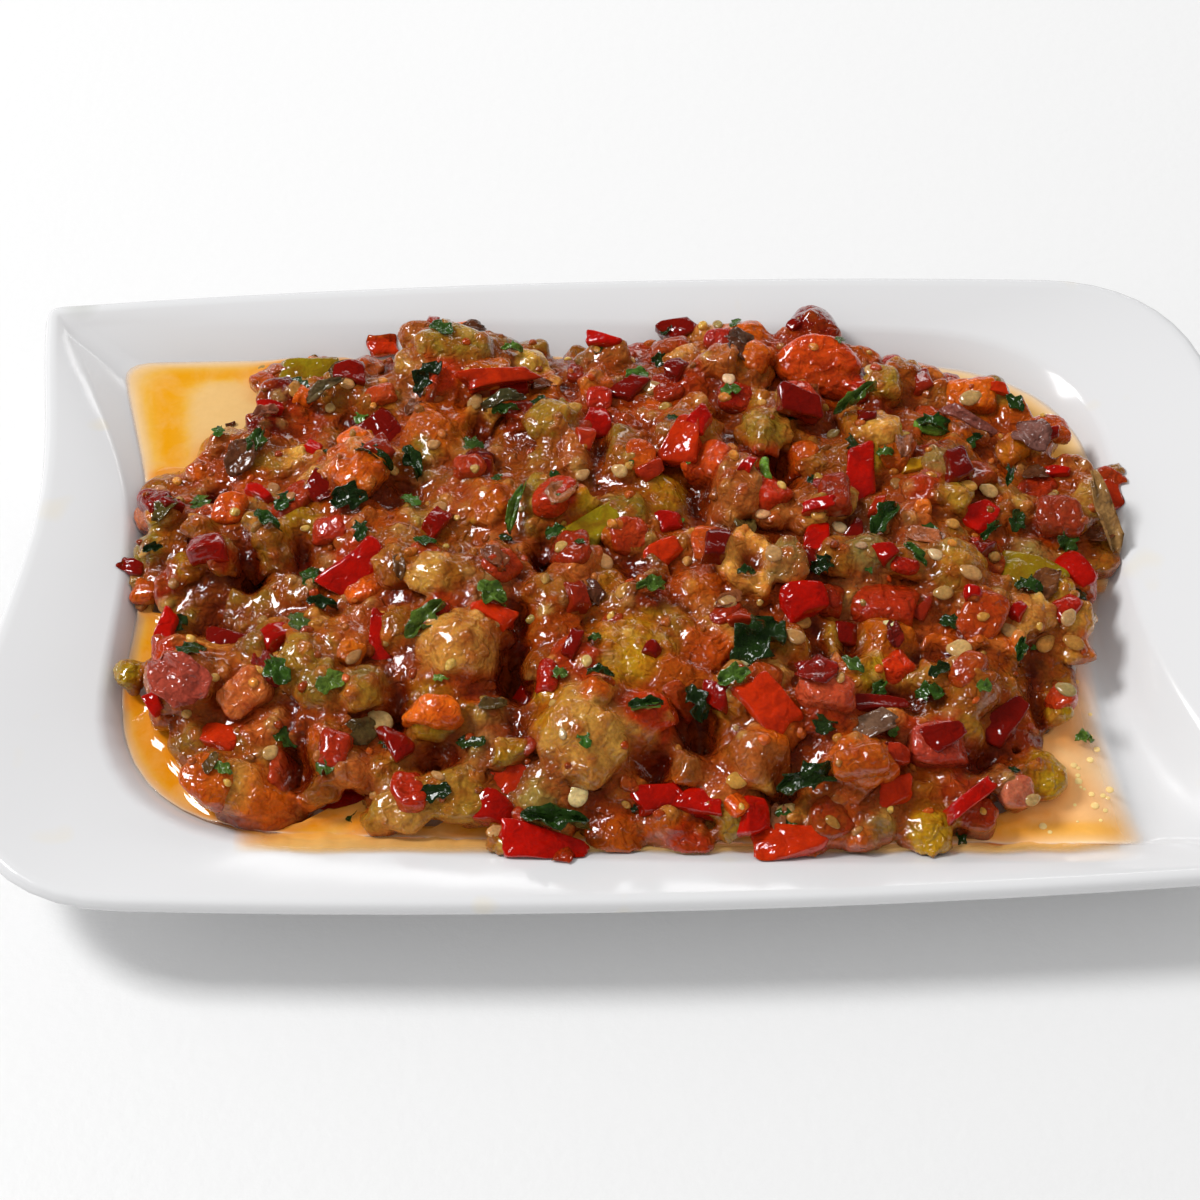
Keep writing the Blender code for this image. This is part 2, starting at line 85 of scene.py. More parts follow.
camera_data = bpy.data.cameras.new("camera")
camera_data.lens, camera_data.sensor_width = LENS_MM, SENSOR_MM
camera = bpy.data.objects.new("camera", camera_data)
camera.matrix_world = Matrix((cam_right, cam_up, cam_back)).transposed().to_4x4()
camera.matrix_world.translation = CAMERA_PLACE
scene.collection.objects.link(camera)
scene.camera = camera


def photo_ray(u, v):
    """The direction from the camera through a pixel of the photo."""
    across = (u / PHOTO_SIDE - 0.5) * SENSOR_MM / LENS_MM
    up = (0.5 - v / PHOTO_SIDE) * SENSOR_MM / LENS_MM
    return (cam_right * across + cam_up * up - cam_back).normalized()


print("camera at", [round(x, 3) for x in CAMERA_PLACE])

# %% [markdown]
# ## Helpers for colours and nodes
# Colours are picked as they look on a screen and turned into linear light, which is what a shader
# wants. A tiny helper adds a node with its values in one line, so that each material stays short.

# %% Colours and nodes
def linear(colour, alpha=1.0):
    """A screen colour, 0 to 255, as linear light."""
    parts = [c / 255.0 for c in colour]
    return tuple(c / 12.92 if c <= 0.04045 else ((c + 0.055) / 1.055) ** 2.4
                 for c in parts) + (alpha,)


def fill_in(made, values):
    """Give inputs of a node their values or links."""
    for name, value in values.items():
        if isinstance(value, bpy.types.NodeSocket):
            made.id_data.links.new(value, made.inputs[name])
        else:
            made.inputs[name].default_value = value


def node(tree, kind, values=None, **settings):
    """Add one node, with its settings and with values or links for its inputs."""
    made = tree.nodes.new("ShaderNode" + kind)
    for name, value in settings.items():
        setattr(made, name, value)
    fill_in(made, values or {})
    return made


def remap(tree, value, low, high, to_low=0.0, to_high=1.0):
    """A value's range stretched to another range, and clamped."""
    return node(tree, "MapRange", {"Value": value, "From Min": low, "From Max": high,
                                   "To Min": to_low, "To Max": to_high}).outputs["Result"]


def blend(tree, share, first, second):
    """Two colours mixed."""
    return node(tree, "Mix", {"Factor": share, 6: first, 7: second}, data_type="RGBA").outputs[2]


def new_group(name, inputs, outputs):
    """An empty node group with named sockets: (name, kind, default)."""
    tree = bpy.data.node_groups.new(name, "ShaderNodeTree")
    for label, kind, value in inputs:
        socket = tree.interface.new_socket(label, in_out="INPUT", socket_type=kind)
        socket.default_value = value
    for label, kind in outputs:
        tree.interface.new_socket(label, in_out="OUTPUT", socket_type=kind)
    return tree, tree.nodes.new("NodeGroupInput").outputs, tree.nodes.new("NodeGroupOutput")


def new_finish(name):
    """A material, its tree and its Principled shader."""
    material = bpy.data.materials.new(name)
    material.use_nodes = True
    return material, material.node_tree, material.node_tree.nodes["Principled BSDF"]


print("helpers ready")

# %% [markdown]
# ## Light and table
# The photo has one soft lamp at the left, slightly behind and high up, and pale surroundings that
# fill the shadows. A square area lamp gives the soft shadow and the small sharp glints on the wet
# food, and an even white world gives the fill. The table is plain white with a very faint relief.

# %% Lamp and world
LAMP_TOWARDS = Vector((-0.80, 0.23, 1.0)).normalized()
LAMP_DISTANCE, LAMP_SIDE, LAMP_POWER = 2.0, 0.50, 25.5
WORLD_STRENGTH, WORLD_IN_GLOSS, WORLD_SEEN = 0.57, 0.03, 0.90

PANEL_TOWARDS = Vector((0.15, 1.0, 0.42)).normalized()
PANEL_DISTANCE, PANEL_WIDTH, PANEL_HIGH, PANEL_POWER = 1.4, 0.9, 0.10, 1.3


def add_lamp(name, towards, distance, wide, high, power):
    """An area lamp that looks at the dish from the given direction."""
    data = bpy.data.lights.new(name, "AREA")
    data.shape, data.size, data.size_y, data.energy = "RECTANGLE", wide, high, power
    lamp = bpy.data.objects.new(name, data)
    lamp.matrix_world = towards.to_track_quat("Z", "Y").to_matrix().to_4x4()
    lamp.matrix_world.translation = towards * distance
    scene.collection.objects.link(lamp)


add_lamp("soft_lamp", LAMP_TOWARDS, LAMP_DISTANCE, LAMP_SIDE, LAMP_SIDE, LAMP_POWER)
add_lamp("back_panel", PANEL_TOWARDS, PANEL_DISTANCE, PANEL_WIDTH, PANEL_HIGH, PANEL_POWER)

world = bpy.data.worlds.new("pale_room")
world.use_nodes = True
path = node(world.node_tree, "LightPath").outputs
dimmed = node(world.node_tree, "Mix", {"Factor": path["Is Glossy Ray"], 2: WORLD_STRENGTH,
                                       3: WORLD_IN_GLOSS})
seen = node(world.node_tree, "Mix", {"Factor": path["Is Camera Ray"], 2: dimmed.outputs[0],
                                     3: WORLD_SEEN})
fill_in(world.node_tree.nodes["Background"], {"Color": (1.0, 1.0, 1.0, 1.0),
                                              "Strength": seen.outputs[0]})
scene.world = world
print("lamp", LAMP_POWER, "W, world", WORLD_STRENGTH)


# %% [markdown]
# ## Two shared effects
# Every wet piece of food shares two effects, so each is a node group. `uneven_colour` clouds a
# colour with patches of a second one and darkens small specks. `wet_relief` gives the height of a
# fine grain with small beads, which breaks the lamp's reflection into the many tiny glints that
# oily food has, and a slightly uneven roughness.

# %% Shared node groups
def make_uneven_colour():
    tree, given, out = new_group(
        "uneven_colour",
        [("Colour", "NodeSocketColor", (0.5, 0.5, 0.5, 1)),
         ("Patch Colour", "NodeSocketColor", (0.3, 0.1, 0.05, 1)),
         ("Patch Scale", "NodeSocketFloat", 300.0), ("Patch Share", "NodeSocketFloat", 0.4),
         ("Speck Scale", "NodeSocketFloat", 1500.0), ("Speck Share", "NodeSocketFloat", 0.3)],
        [("Colour", "NodeSocketColor")])
    place = node(tree, "TexCoord").outputs["Object"]
    cloud = node(tree, "TexNoise", {"Vector": place, "Scale": given["Patch Scale"], "Detail": 4.0,
                                    "Roughness": 0.6, "Distortion": 0.6}).outputs["Fac"]
    share = node(tree, "Math", {0: remap(tree, cloud, 0.42, 0.66), 1: given["Patch Share"]},
                 operation="MULTIPLY").outputs[0]
    mixed = blend(tree, share, given["Colour"], given["Patch Colour"])
    fine = node(tree, "TexNoise", {"Vector": place, "Scale": given["Speck Scale"],
                                   "Detail": 3.0}).outputs["Fac"]
    shade = node(tree, "Mix", {"Factor": given["Speck Share"], 2: 1.0,
                               3: remap(tree, fine, 0.35, 0.65, 0.62, 1.30)}).outputs[0]
    last = node(tree, "VectorMath", {0: mixed, "Scale": shade}, operation="SCALE")
    fill_in(out, {"Colour": last.outputs["Vector"]})
    return tree


def make_wet_relief():
    tree, given, out = new_group(
        "wet_relief",
        [("Grain Scale", "NodeSocketFloat", 900.0), ("Bead Scale", "NodeSocketFloat", 420.0),
         ("Bead Share", "NodeSocketFloat", 0.5), ("Roughness", "NodeSocketFloat", 0.16)],
        [("Height", "NodeSocketFloat"), ("Roughness", "NodeSocketFloat")])
    place = node(tree, "TexCoord").outputs["Object"]
    grain = node(tree, "TexNoise", {"Vector": place, "Scale": given["Grain Scale"], "Detail": 1.0,
                                    "Roughness": 0.4, "Distortion": 0.9}).outputs["Fac"]
    beads = node(tree, "TexVoronoi", {"Vector": place, "Scale": given["Bead Scale"],
                                      "Smoothness": 0.6}, feature="SMOOTH_F1").outputs["Distance"]
    height = node(tree, "Mix", {"Factor": given["Bead Share"], 2: grain,
                                3: remap(tree, beads, 0.0, 0.7, 1.0, 0.0)})
    rough = node(tree, "Math", {0: remap(tree, grain, 0.3, 0.7, 0.6, 1.5), 1: given["Roughness"]},
                 operation="MULTIPLY")
    fill_in(out, {"Height": height.outputs[0], "Roughness": rough.outputs[0]})
    return tree


UNEVEN_COLOUR = make_uneven_colour()
WET_RELIEF = make_wet_relief()
print("groups:", UNEVEN_COLOUR.name, WET_RELIEF.name)


# %% [markdown]
# ## One recipe for wet food
# All the food takes its own colour from a colour attribute called `tint`, painted on each piece
# when it is placed, so that no two neighbours match. The rest is the same wet look: light goes a
# little way in, as in anything soft and juicy, the surface has fine glints, and a thin clear coat
# stands for the film of oil.

# %% Wet finish
def wet_finish(name, patch_colour, patch_scale, patch_share, grain_scale, bead_share, relief_mm,
               roughness, depth_mm, inside, coat, speck_share=0.45):
    material, tree, shader = new_finish(name)
    tint = node(tree, "Attribute", attribute_name="tint")
    colour = node(tree, "Group", {
        "Colour": tint.outputs["Color"], "Patch Colour": linear(patch_colour),
        "Patch Scale": patch_scale, "Patch Share": patch_share,
        "Speck Scale": 3.0 * grain_scale, "Speck Share": speck_share}, node_tree=UNEVEN_COLOUR)
    relief = node(tree, "Group", {
        "Grain Scale": grain_scale, "Bead Scale": 0.75 * grain_scale, "Bead Share": bead_share,
        "Roughness": roughness}, node_tree=WET_RELIEF)
    bump = node(tree, "Bump", {"Height": relief.outputs["Height"], "Distance": relief_mm * MM,
                               "Strength": 1.0})
    fill_in(shader, {
        "Base Color": colour.outputs["Colour"], "Roughness": relief.outputs["Roughness"],
        "Normal": bump.outputs["Normal"], "Subsurface Weight": inside,
        "Subsurface Radius": (1.0, 0.35, 0.15), "Subsurface Scale": depth_mm * MM,
        "Coat Weight": coat, "Coat Roughness": 0.05, "IOR": 1.45})
    return material


# In the order of the arguments: patches, grain, beads, relief, roughness, light let in, and coat.
PULP = wet_finish("wet_pulp", (150, 56, 8), 240.0, 0.55, 560.0, 0.30, 1.50, 0.09, 2.2, 0.35, 0.8)
PEPPER = wet_finish("wet_pepper", (112, 8, 2), 170.0, 0.50, 520.0, 0.35, 0.70, 0.08, 1.6, 0.18,
                    0.8, speck_share=0.20)
TOMATO = wet_finish("wet_tomato", (160, 34, 8), 240.0, 0.55, 560.0, 0.30, 1.35, 0.09, 2.2, 0.35, 0.8)
SKIN = wet_finish("wet_skin", (70, 24, 12), 300.0, 0.50, 600.0, 0.35, 1.00, 0.10, 1.0, 0.00, 0.6)
LEAF = wet_finish("wet_parsley", (26, 44, 18), 420.0, 0.60, 700.0, 0.20, 0.80, 0.12, 0.6, 0.00, 0.4)
SEEDY = wet_finish("wet_seeds", (160, 96, 40), 500.0, 0.35, 600.0, 0.10, 0.20, 0.12, 1.0, 0.30, 0.5)
print("finishes:", [m.name for m in (PULP, PEPPER, TOMATO, SKIN, LEAF, SEEDY)])


# %% [markdown]
# ## Reading the solids
# Pieces have to lie on something. A search tree over a mesh answers where a ray meets it, and a
# grid of such answers over the dish tells quickly how high the porcelain is under any point.

# %% Search trees and the dish's floor
UP = Vector((0.0, 0.0, 1.0))
ABOVE_ALL = 0.08              # a height in metres that clears the heap


def tree_of(*things):
    """One search tree over the meshes of several objects."""
    points, faces, start = [], [], 0
    for thing in things:
        points += [v.co.copy() for v in thing.data.vertices]
        faces += [[start + i for i in p.vertices] for p in thing.data.polygons]
        start = len(points)
    return BVHTree.FromPolygons(points, faces)


def ray_down(tree, x, y):
    """Where a vertical ray from above meets a surface, and the surface's normal there."""
    return tree.ray_cast(Vector((x, y, ABOVE_ALL)), -UP)[:2]


def drop(tree, x, y):
    """The height where a vertical ray meets a surface, or None."""
    place = ray_down(tree, x, y)[0]
    return None if place is None else place.z


dish_tree = tree_of(CAD["dish"])
salad_tree = tree_of(CAD["salad"])

FLOOR_STEP = 1.0 * MM
HALF_LONG, HALF_WIDE = 114, 74          # steps of the grid to each side of the middle
floor_x = np.arange(-HALF_LONG * MM, (HALF_LONG + 0.1) * MM, FLOOR_STEP)
floor_y = np.arange(-HALF_WIDE * MM, (HALF_WIDE + 0.1) * MM, FLOOR_STEP)
floor_z = np.array([[drop(dish_tree, x, y) or 0.0 for y in floor_y] for x in floor_x])


def floor_under(points):
    """How high the dish is under each of many points."""
    i = np.clip((points[:, 0] - floor_x[0]) / FLOOR_STEP, 0, len(floor_x) - 1.001)
    j = np.clip((points[:, 1] - floor_y[0]) / FLOOR_STEP, 0, len(floor_y) - 1.001)
    a, b = i.astype(int), j.astype(int)
    s, t = i - a, j - b
    return ((1 - s) * (1 - t) * floor_z[a, b] + s * (1 - t) * floor_z[a + 1, b]
            + (1 - s) * t * floor_z[a, b + 1] + s * t * floor_z[a + 1, b + 1])


oil_low, oil_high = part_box("oil")
salad_low, salad_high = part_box("salad")
OIL_LEVEL = 13.2 * MM
print("oil box, mm:", [round(1000 * x, 1) for x in (*oil_low, *oil_high)])
print("oil level", OIL_LEVEL, "heap top", round(salad_high.z, 4))


# %% [markdown]
# ## Shapes to copy
# Chopped food is many copies of few forms. Each form is modelled once by hand tools: a primitive,
# moved points, a modifier or two. Its length is one unit along X, and a copy is stretched to its
# real size when it is placed. The triangles stay few, because hundreds of copies follow.

# %% Modelling helpers
def start_with(operator, **options):
    """Add a primitive with nothing else selected, and return it."""
    bpy.ops.object.select_all(action="DESELECT")
    operator(**options)
    return bpy.context.object


def pick(thing, *others):
    """Select only these objects, and make the first one active."""
    bpy.ops.object.select_all(action="DESELECT")
    for one in (thing, *others):
        one.select_set(True)
    bpy.context.view_layer.objects.active = thing


def apply_modifier(thing, kind, **options):
    pick(thing)
    bpy.ops.object.modifier_add(type=kind)
    modifier = thing.modifiers[-1]
    for name, value in options.items():
        setattr(modifier, name, value)
    bpy.ops.object.modifier_apply(modifier=modifier.name)


def in_edit_mode(thing, *steps):
    """Run operators on the whole mesh in edit mode: (operator, options)."""
    pick(thing)
    bpy.ops.object.mode_set(mode="EDIT")
    bpy.ops.mesh.select_all(action="SELECT")
    for operator, options in steps:
        operator(**options)
    bpy.ops.object.mode_set(mode="OBJECT")


def points_of(thing):
    places = np.empty(3 * len(thing.data.vertices))
    thing.data.vertices.foreach_get("co", places)
    return places.reshape(-1, 3)


def set_points(thing, places):
    thing.data.vertices.foreach_set("co", places.ravel())
    thing.data.update()


def as_shape(thing):
    """Take a finished form as arrays of points and triangles, and remove its object."""
    in_edit_mode(thing, (bpy.ops.mesh.normals_make_consistent, {"inside": False}),
                 (bpy.ops.mesh.quads_convert_to_tris, {}))
    faces = np.empty(3 * len(thing.data.polygons), int)
    thing.data.polygons.foreach_get("vertices", faces)
    shape = (points_of(thing), faces.reshape(-1, 3))
    bpy.data.objects.remove(thing)
    return shape


def wobble(places, size, amount, start):
    """Move points by smooth noise, so that no copy has a perfect form."""
    offset = Vector((start * 7.3, start * 3.1, start * 1.7))
    moved = [noise.noise_vector(Vector(p) / size + offset) for p in places]
    return places + amount * np.array(moved)


print("modelling helpers ready")


# %% [markdown]
# Pulp is soft: a ball pushed out of shape. Tomato is a ball pulled towards a box, because it was cut
# and then cooked. Red pepper keeps its cut edges, so it is a bevelled slab with a slight curve.

# %% Lump, tomato and pepper
def ball_shape(number, size, amount, squareness=1.0, subdivisions=3):
    """A ball, pulled towards a box where the squareness is under one, and bent."""
    ball = start_with(bpy.ops.mesh.primitive_ico_sphere_add, subdivisions=subdivisions, radius=0.5)
    places = points_of(ball)
    if squareness < 1.0:
        places = np.sign(places) * (2 * np.abs(places)) ** squareness / 2
    set_points(ball, wobble(places, size, amount, number))
    return as_shape(ball)


def pepper_shape(number):
    slab = start_with(bpy.ops.mesh.primitive_cube_add, size=1.0)
    in_edit_mode(slab, (bpy.ops.mesh.subdivide, {"number_cuts": 3}))
    places = points_of(slab)
    places[:, 2] += 0.30 * (0.5 - 2.0 * places[:, 0] ** 2)                 # a slight curve
    places[:, 1] *= 1.0 - (0.1 + 0.22 * (number % 4)) * places[:, 0]       # one end narrower
    places[:, 0] += 0.15 * (number % 3 - 1) * places[:, 1]                 # slanted cuts
    set_points(slab, wobble(places, 0.6, 0.22, number + 40))
    apply_modifier(slab, "SMOOTH", factor=0.5, iterations=1)
    apply_modifier(slab, "BEVEL", width=0.08, segments=2, angle_limit=math.radians(30))
    return as_shape(slab)


LUMPS = [ball_shape(n, 0.45, 0.16) for n in range(8)]
TOMATOES = [ball_shape(n + 20, 0.6, 0.14, squareness=0.55) for n in range(6)]
BEADS = [ball_shape(3, 0.7, 0.12, subdivisions=2)]
PEPPERS = [pepper_shape(n) for n in range(8)]
print("triangles:", len(LUMPS[0][1]), len(TOMATOES[0][1]), len(PEPPERS[0][1]))


# %% [markdown]
# Skins and parsley are thin: a grid cut to an outline by moving its points, curled, and given its
# thickness by Solidify. A stalk is a bent cylinder. A pepper seed is a flat disc with a thick rim.

# %% Skin, parsley, stalk and seed
def thin_shape(number, lobes, curl, fold, thickness, columns=9, rows=6):
    """A thin piece with a pointed, lobed outline, curled along and folded across."""
    sheet = start_with(bpy.ops.mesh.primitive_grid_add, x_subdivisions=columns, y_subdivisions=rows,
                       size=1.0)
    places = points_of(sheet)
    x, y = places[:, 0].copy(), places[:, 1].copy()
    edge = (1.0 - 0.70 * np.abs(2 * x) ** 2.6) * (1.0 + lobes * np.sin(lobes * 46.0 * x + number))
    places[:, 1] = y * edge
    places[:, 2] = (curl * (0.25 - x ** 2) + fold * np.abs(y)
                    + 0.05 * np.sin(9 * x + 7 * y + 1.7 * number))
    set_points(sheet, wobble(places, 0.30, 0.15, number + 60))
    apply_modifier(sheet, "SOLIDIFY", thickness=thickness, offset=0.0)
    return as_shape(sheet)


def stalk_shape(number):
    rod = start_with(bpy.ops.mesh.primitive_cylinder_add, vertices=8, radius=0.5, depth=1.0,
                     rotation=(0.0, math.pi / 2, 0.0))
    bpy.ops.object.transform_apply(location=False, rotation=True, scale=False)
    in_edit_mode(rod, (bpy.ops.mesh.bisect, {"plane_co": (-0.2, 0, 0), "plane_no": (1, 0, 0)}),
                 (bpy.ops.mesh.select_all, {"action": "SELECT"}),
                 (bpy.ops.mesh.bisect, {"plane_co": (0.2, 0, 0), "plane_no": (1, 0, 0)}))
    places = points_of(rod)
    places[:, 1] += 0.8 * (places[:, 0] ** 2) * (1 if number % 2 else -1)
    set_points(rod, places)
    apply_modifier(rod, "BEVEL", width=0.08, segments=1, angle_limit=math.radians(60))
    return as_shape(rod)


def seed_shape(number):
    disc = start_with(bpy.ops.mesh.primitive_uv_sphere_add, segments=16, ring_count=8, radius=0.5)
    places = points_of(disc)
    across = np.hypot(places[:, 0], places[:, 1])
    places[:, 2] *= 1.0 - 0.45 * np.exp(-(across / 0.22) ** 2)      # a dent in the middle
    places[:, 0] += 0.10 * (places[:, 0] > 0.40)                    # a small tip at one end
    set_points(disc, wobble(places, 0.9, 0.05, number + 90))
    return as_shape(disc)


SKINS = [thin_shape(n, lobes=0.10, curl=0.9, fold=0.35, thickness=0.06) for n in range(5)]
LEAVES = [thin_shape(n + 5, lobes=0.24 + 0.05 * (n % 3), curl=0.5 + 0.25 * (n % 3), fold=0.5,
                     thickness=0.035, columns=11, rows=7) for n in range(6)]
STALKS = [stalk_shape(n) for n in range(2)]
SEEDS = [seed_shape(n) for n in range(3)]
print("triangles:", len(SKINS[0][1]), len(LEAVES[0][1]), len(STALKS[0][1]), len(SEEDS[0][1]))


# %% [markdown]
# ## Placing copies
# A copy needs a place, three axes and a size. Where the photo shows a piece, its place comes from
# the ray through its pixel, and its long axis follows the angle seen in the photo. The rest are
# spread at random with a least distance, which looks more natural than pure chance. All copies of
# one kind become one mesh, and points that would dip into the porcelain are lifted clear of it.

# %% Copying and joining
CLEAR = 0.35 * MM
TOP_LIMIT = salad_high.z - 0.05 * MM


def axes_for(normal, along, lean):
    """Axes of a piece: its Z near the surface's normal, its X along the wanted direction."""
    up = (normal * (1.0 - lean) + Vector((0.0, 0.0, 1.0)) * lean).normalized()
    x = (along - up * along.dot(up)).normalized()
    return Matrix((x, up.cross(x), up)).transposed()


def copy_of(shape, place, axes, size, colour, sink, roll=0.0):
    """One copy, ready to be joined."""
    turn = np.array(axes @ Matrix.Rotation(roll, 3, "X"))
    middle = np.array(place) + np.array(axes)[:, 2] * size[2] * (0.5 - sink)
    return shape, turn * np.array(size), middle, colour


def paint(mesh, colours):
    layer = mesh.attributes.new("tint", "FLOAT_COLOR", "POINT")
    layer.data.foreach_set("color", np.asarray(colours, dtype=np.float32).ravel())


def new_piece(name, points, faces, colours, finish):
    """A smooth mesh with its colours in the attribute tint."""
    mesh = bpy.data.meshes.new(name)
    mesh.from_pydata(points, [], faces)
    mesh.shade_smooth()
    paint(mesh, colours)
    mesh.materials.append(finish)
    thing = bpy.data.objects.new(name, mesh)
    scene.collection.objects.link(thing)
    return thing


def join_copies(name, copies, finish, slot=None):
    """Make one mesh of many copies. Without a slot it is only a step towards a piece."""
    points, faces, tints, start = [], [], [], 0
    for (places, triangles), turn, middle, colour in copies:
        spots = places @ turn.T + middle
        spots[:, 2] -= max(0.0, spots[:, 2].max() - TOP_LIMIT)
        points.append(spots)
        faces.append(triangles + start)
        tints.append(np.tile(linear(colour), (len(places), 1)))
        start += len(places)
    points, faces = np.vstack(points), np.vstack(faces)
    points[:, 2] = np.maximum(points[:, 2], floor_under(points) + CLEAR)
    thing = new_piece(name, points.tolist(), faces.tolist(), np.vstack(tints), finish)
    if slot:
        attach(thing, "root")
    print(name, len(copies), "copies,", len(faces), "triangles")
    return thing


def spread(count, spacing, tries=60):
    """Places all over the heap, no two closer than the spacing."""
    found = []
    for _ in range(tries * count):
        x = rng.uniform(salad_low.x, salad_high.x)
        y = rng.uniform(salad_low.y, salad_high.y)
        if drop(salad_tree, x, y) is None:
            continue
        if all((x - a) ** 2 + (y - b) ** 2 > spacing ** 2 for a, b in found):
            found.append((x, y))
            if len(found) == count:
                break
    return found


def vary(colour, amount):
    """A colour a little lighter or darker, and a little off in hue."""
    shade = rng.uniform(1.0 - amount, 1.0 + amount)
    return tuple(min(255.0, max(0.0, c * shade * rng.uniform(1 - amount / 3, 1 + amount / 3)))
                 for c in colour)


print("placing helpers ready")

# %% [markdown]
# ## The soft mass
# Most of the heap is soft pulp, whose lumps run into each other. Separate balls would look like
# beads. So the lumps and a shrunken copy of the heap's solid are joined and remeshed into one skin,
# smoothed, and given a fine knobbly relief. The table lists the lumps that the photo shows: pixel
# across and down, width and height in pixels, and a colour name.

# %% Colours of the pulp
TINTS = {
    "olive": (160, 118, 34), "pale": (202, 144, 58), "brown": (146, 86, 20), "pink": (176, 94, 36),
    "orange": (192, 86, 10), "brick": (168, 46, 8), "deep": (112, 12, 4), "grey": (146, 114, 54),
    "yellow": (178, 130, 20), "red": (184, 22, 6),
}
PULP_SEEN = [
    (459, 348, 84, 58, "olive"), (528, 350, 52, 34, "olive"), (432, 434, 66, 84, "orange"),
    (462, 503, 76, 74, "pink"), (549, 420, 48, 56, "olive"), (576, 453, 28, 60, "pink"),
    (627, 468, 72, 84, "brown"), (630, 395, 50, 58, "deep"), (570, 495, 44, 32, "brick"),
    (606, 358, 60, 36, "pink"), (688, 385, 56, 60, "brick"), (720, 360, 50, 44, "pink"),
    (756, 360, 38, 38, "orange"), (881, 384, 48, 46, "olive"), (763, 427, 48, 76, "olive"),
    (801, 402, 58, 44, "deep"), (878, 430, 58, 44, "pale"), (738, 485, 52, 66, "pink"),
    (842, 470, 60, 80, "brown"), (928, 489, 46, 40, "brick"), (940, 465, 44, 44, "grey"),
    (935, 400, 40, 40, "brown"), (1015, 420, 40, 44, "orange"), (1062, 517, 60, 54, "brick"),
    (1020, 510, 40, 40, "pale"), (1090, 500, 34, 50, "pale"), (982, 617, 54, 66, "orange"),
    (945, 590, 44, 50, "olive"), (905, 560, 50, 40, "brown"), (840, 557, 54, 34, "brown"),
    (790, 560, 44, 50, "grey"), (633, 655, 104, 90, "yellow"), (586, 733, 90, 94, "pale"),
    (460, 644, 80, 70, "pale"), (724, 625, 56, 66, "pale"), (735, 690, 44, 60, "brown"),
    (828, 682, 48, 76, "orange"), (863, 674, 30, 50, "yellow"), (930, 690, 80, 50, "olive"),
    (938, 744, 76, 62, "brick"), (862, 758, 72, 48, "orange"), (760, 755, 60, 60, "pink"),
    (1000, 700, 56, 56, "olive"), (1059, 686, 34, 70, "olive"), (1030, 740, 50, 50, "brick"),
    (731, 812, 44, 52, "olive"), (853, 827, 78, 42, "orange"), (834, 799, 54, 22, "pink"),
    (930, 826, 46, 36, "yellow"), (975, 824, 44, 30, "pink"), (1017, 792, 36, 36, "pink"),
    (640, 830, 60, 40, "brown"), (690, 840, 50, 30, "brick"), (600, 830, 40, 36, "olive"),
    (450, 790, 70, 56, "olive"), (400, 810, 60, 40, "pale"), (349, 768, 44, 36, "pink"),
    (262, 800, 92, 56, "orange"), (240, 790, 50, 60, "pale"), (250, 693, 60, 54, "orange"),
    (303, 663, 56, 62, "olive"), (180, 683, 72, 62, "pink"), (188, 742, 44, 32, "brown"),
    (130, 590, 34, 56, "grey"), (188, 568, 42, 34, "yellow"), (163, 512, 42, 50, "pink"),
    (198, 526, 36, 26, "brown"), (218, 450, 56, 44, "pink"), (267, 470, 62, 38, "olive"),
    (298, 508, 36, 38, "orange"), (356, 465, 64, 86, "orange"), (364, 370, 46, 34, "pink"),
    (331, 528, 42, 30, "brick"), (222, 556, 34, 34, "brick"), (330, 740, 60, 54, "brown"),
    (395, 565, 40, 50, "brown"), (435, 570, 60, 44, "pale"), (550, 590, 60, 50, "brown"),
    (500, 560, 40, 44, "pink"), (700, 590, 60, 50, "orange"), (675, 640, 50, 60, "olive"),
    (1045, 590, 60, 44, "yellow"), (1075, 620, 40, 40, "pale"), (300, 590, 44, 36, "brown"),
    (360, 690, 44, 44, "olive"), (410, 745, 50, 36, "brown"), (540, 500, 40, 66, "olive"),
]
PULP_MIX = (["olive"] * 7 + ["pale"] * 4 + ["brown"] * 6 + ["pink"] * 4 + ["orange"] * 4
            + ["brick"] * 3 + ["deep"] * 2 + ["grey"] * 3 + ["yellow"] * 2)
print(len(PULP_SEEN), "lumps seen in the photo")

# %% Places on the heap
PIXEL_MM = 0.176              # size of a photo pixel at the heap
EDGE_HEIGHT = 16.0 * MM       # of the heap's rim, for a ray that just misses it
GAPS_SEEN = [                 # dark gaps between clumps: across, down, width, height in pixels
    (226, 604, 73, 38), (249, 574, 31, 50), (297, 745, 30, 70), (515, 672, 34, 130), (850, 640, 30, 40),
    (747, 548, 40, 40), (782, 785, 30, 26), (351, 428, 26, 40), (988, 748, 60, 30), (700, 730, 36, 60),
    (400, 690, 30, 40), (640, 560, 40, 26), (545, 560, 26, 40), (820, 640, 26, 50), (905, 700, 70, 24),
    (660, 760, 40, 24), (300, 545, 26, 40), (700, 480, 26, 44), (940, 640, 40, 26), (440, 760, 40, 24),
    (480, 420, 24, 50), (1040, 700, 24, 50), (215, 500, 26, 26), (600, 440, 20, 40), (780, 470, 24, 40),
]


def seen_place(tree, u, v):
    """Where the ray through a pixel meets the heap, or comes nearest to it."""
    ray = photo_ray(u, v)
    hit, normal, _, _ = tree.ray_cast(CAMERA_PLACE, ray)
    if hit is None:
        level = CAMERA_PLACE + ray * ((EDGE_HEIGHT - CAMERA_PLACE.z) / ray.z)
        hit, normal, _, _ = tree.find_nearest(level)
    return hit, normal


def flat_turn():
    """Any direction along the table."""
    turn = rng.uniform(0.0, math.tau)
    return Vector((math.cos(turn), math.sin(turn), 0.0))


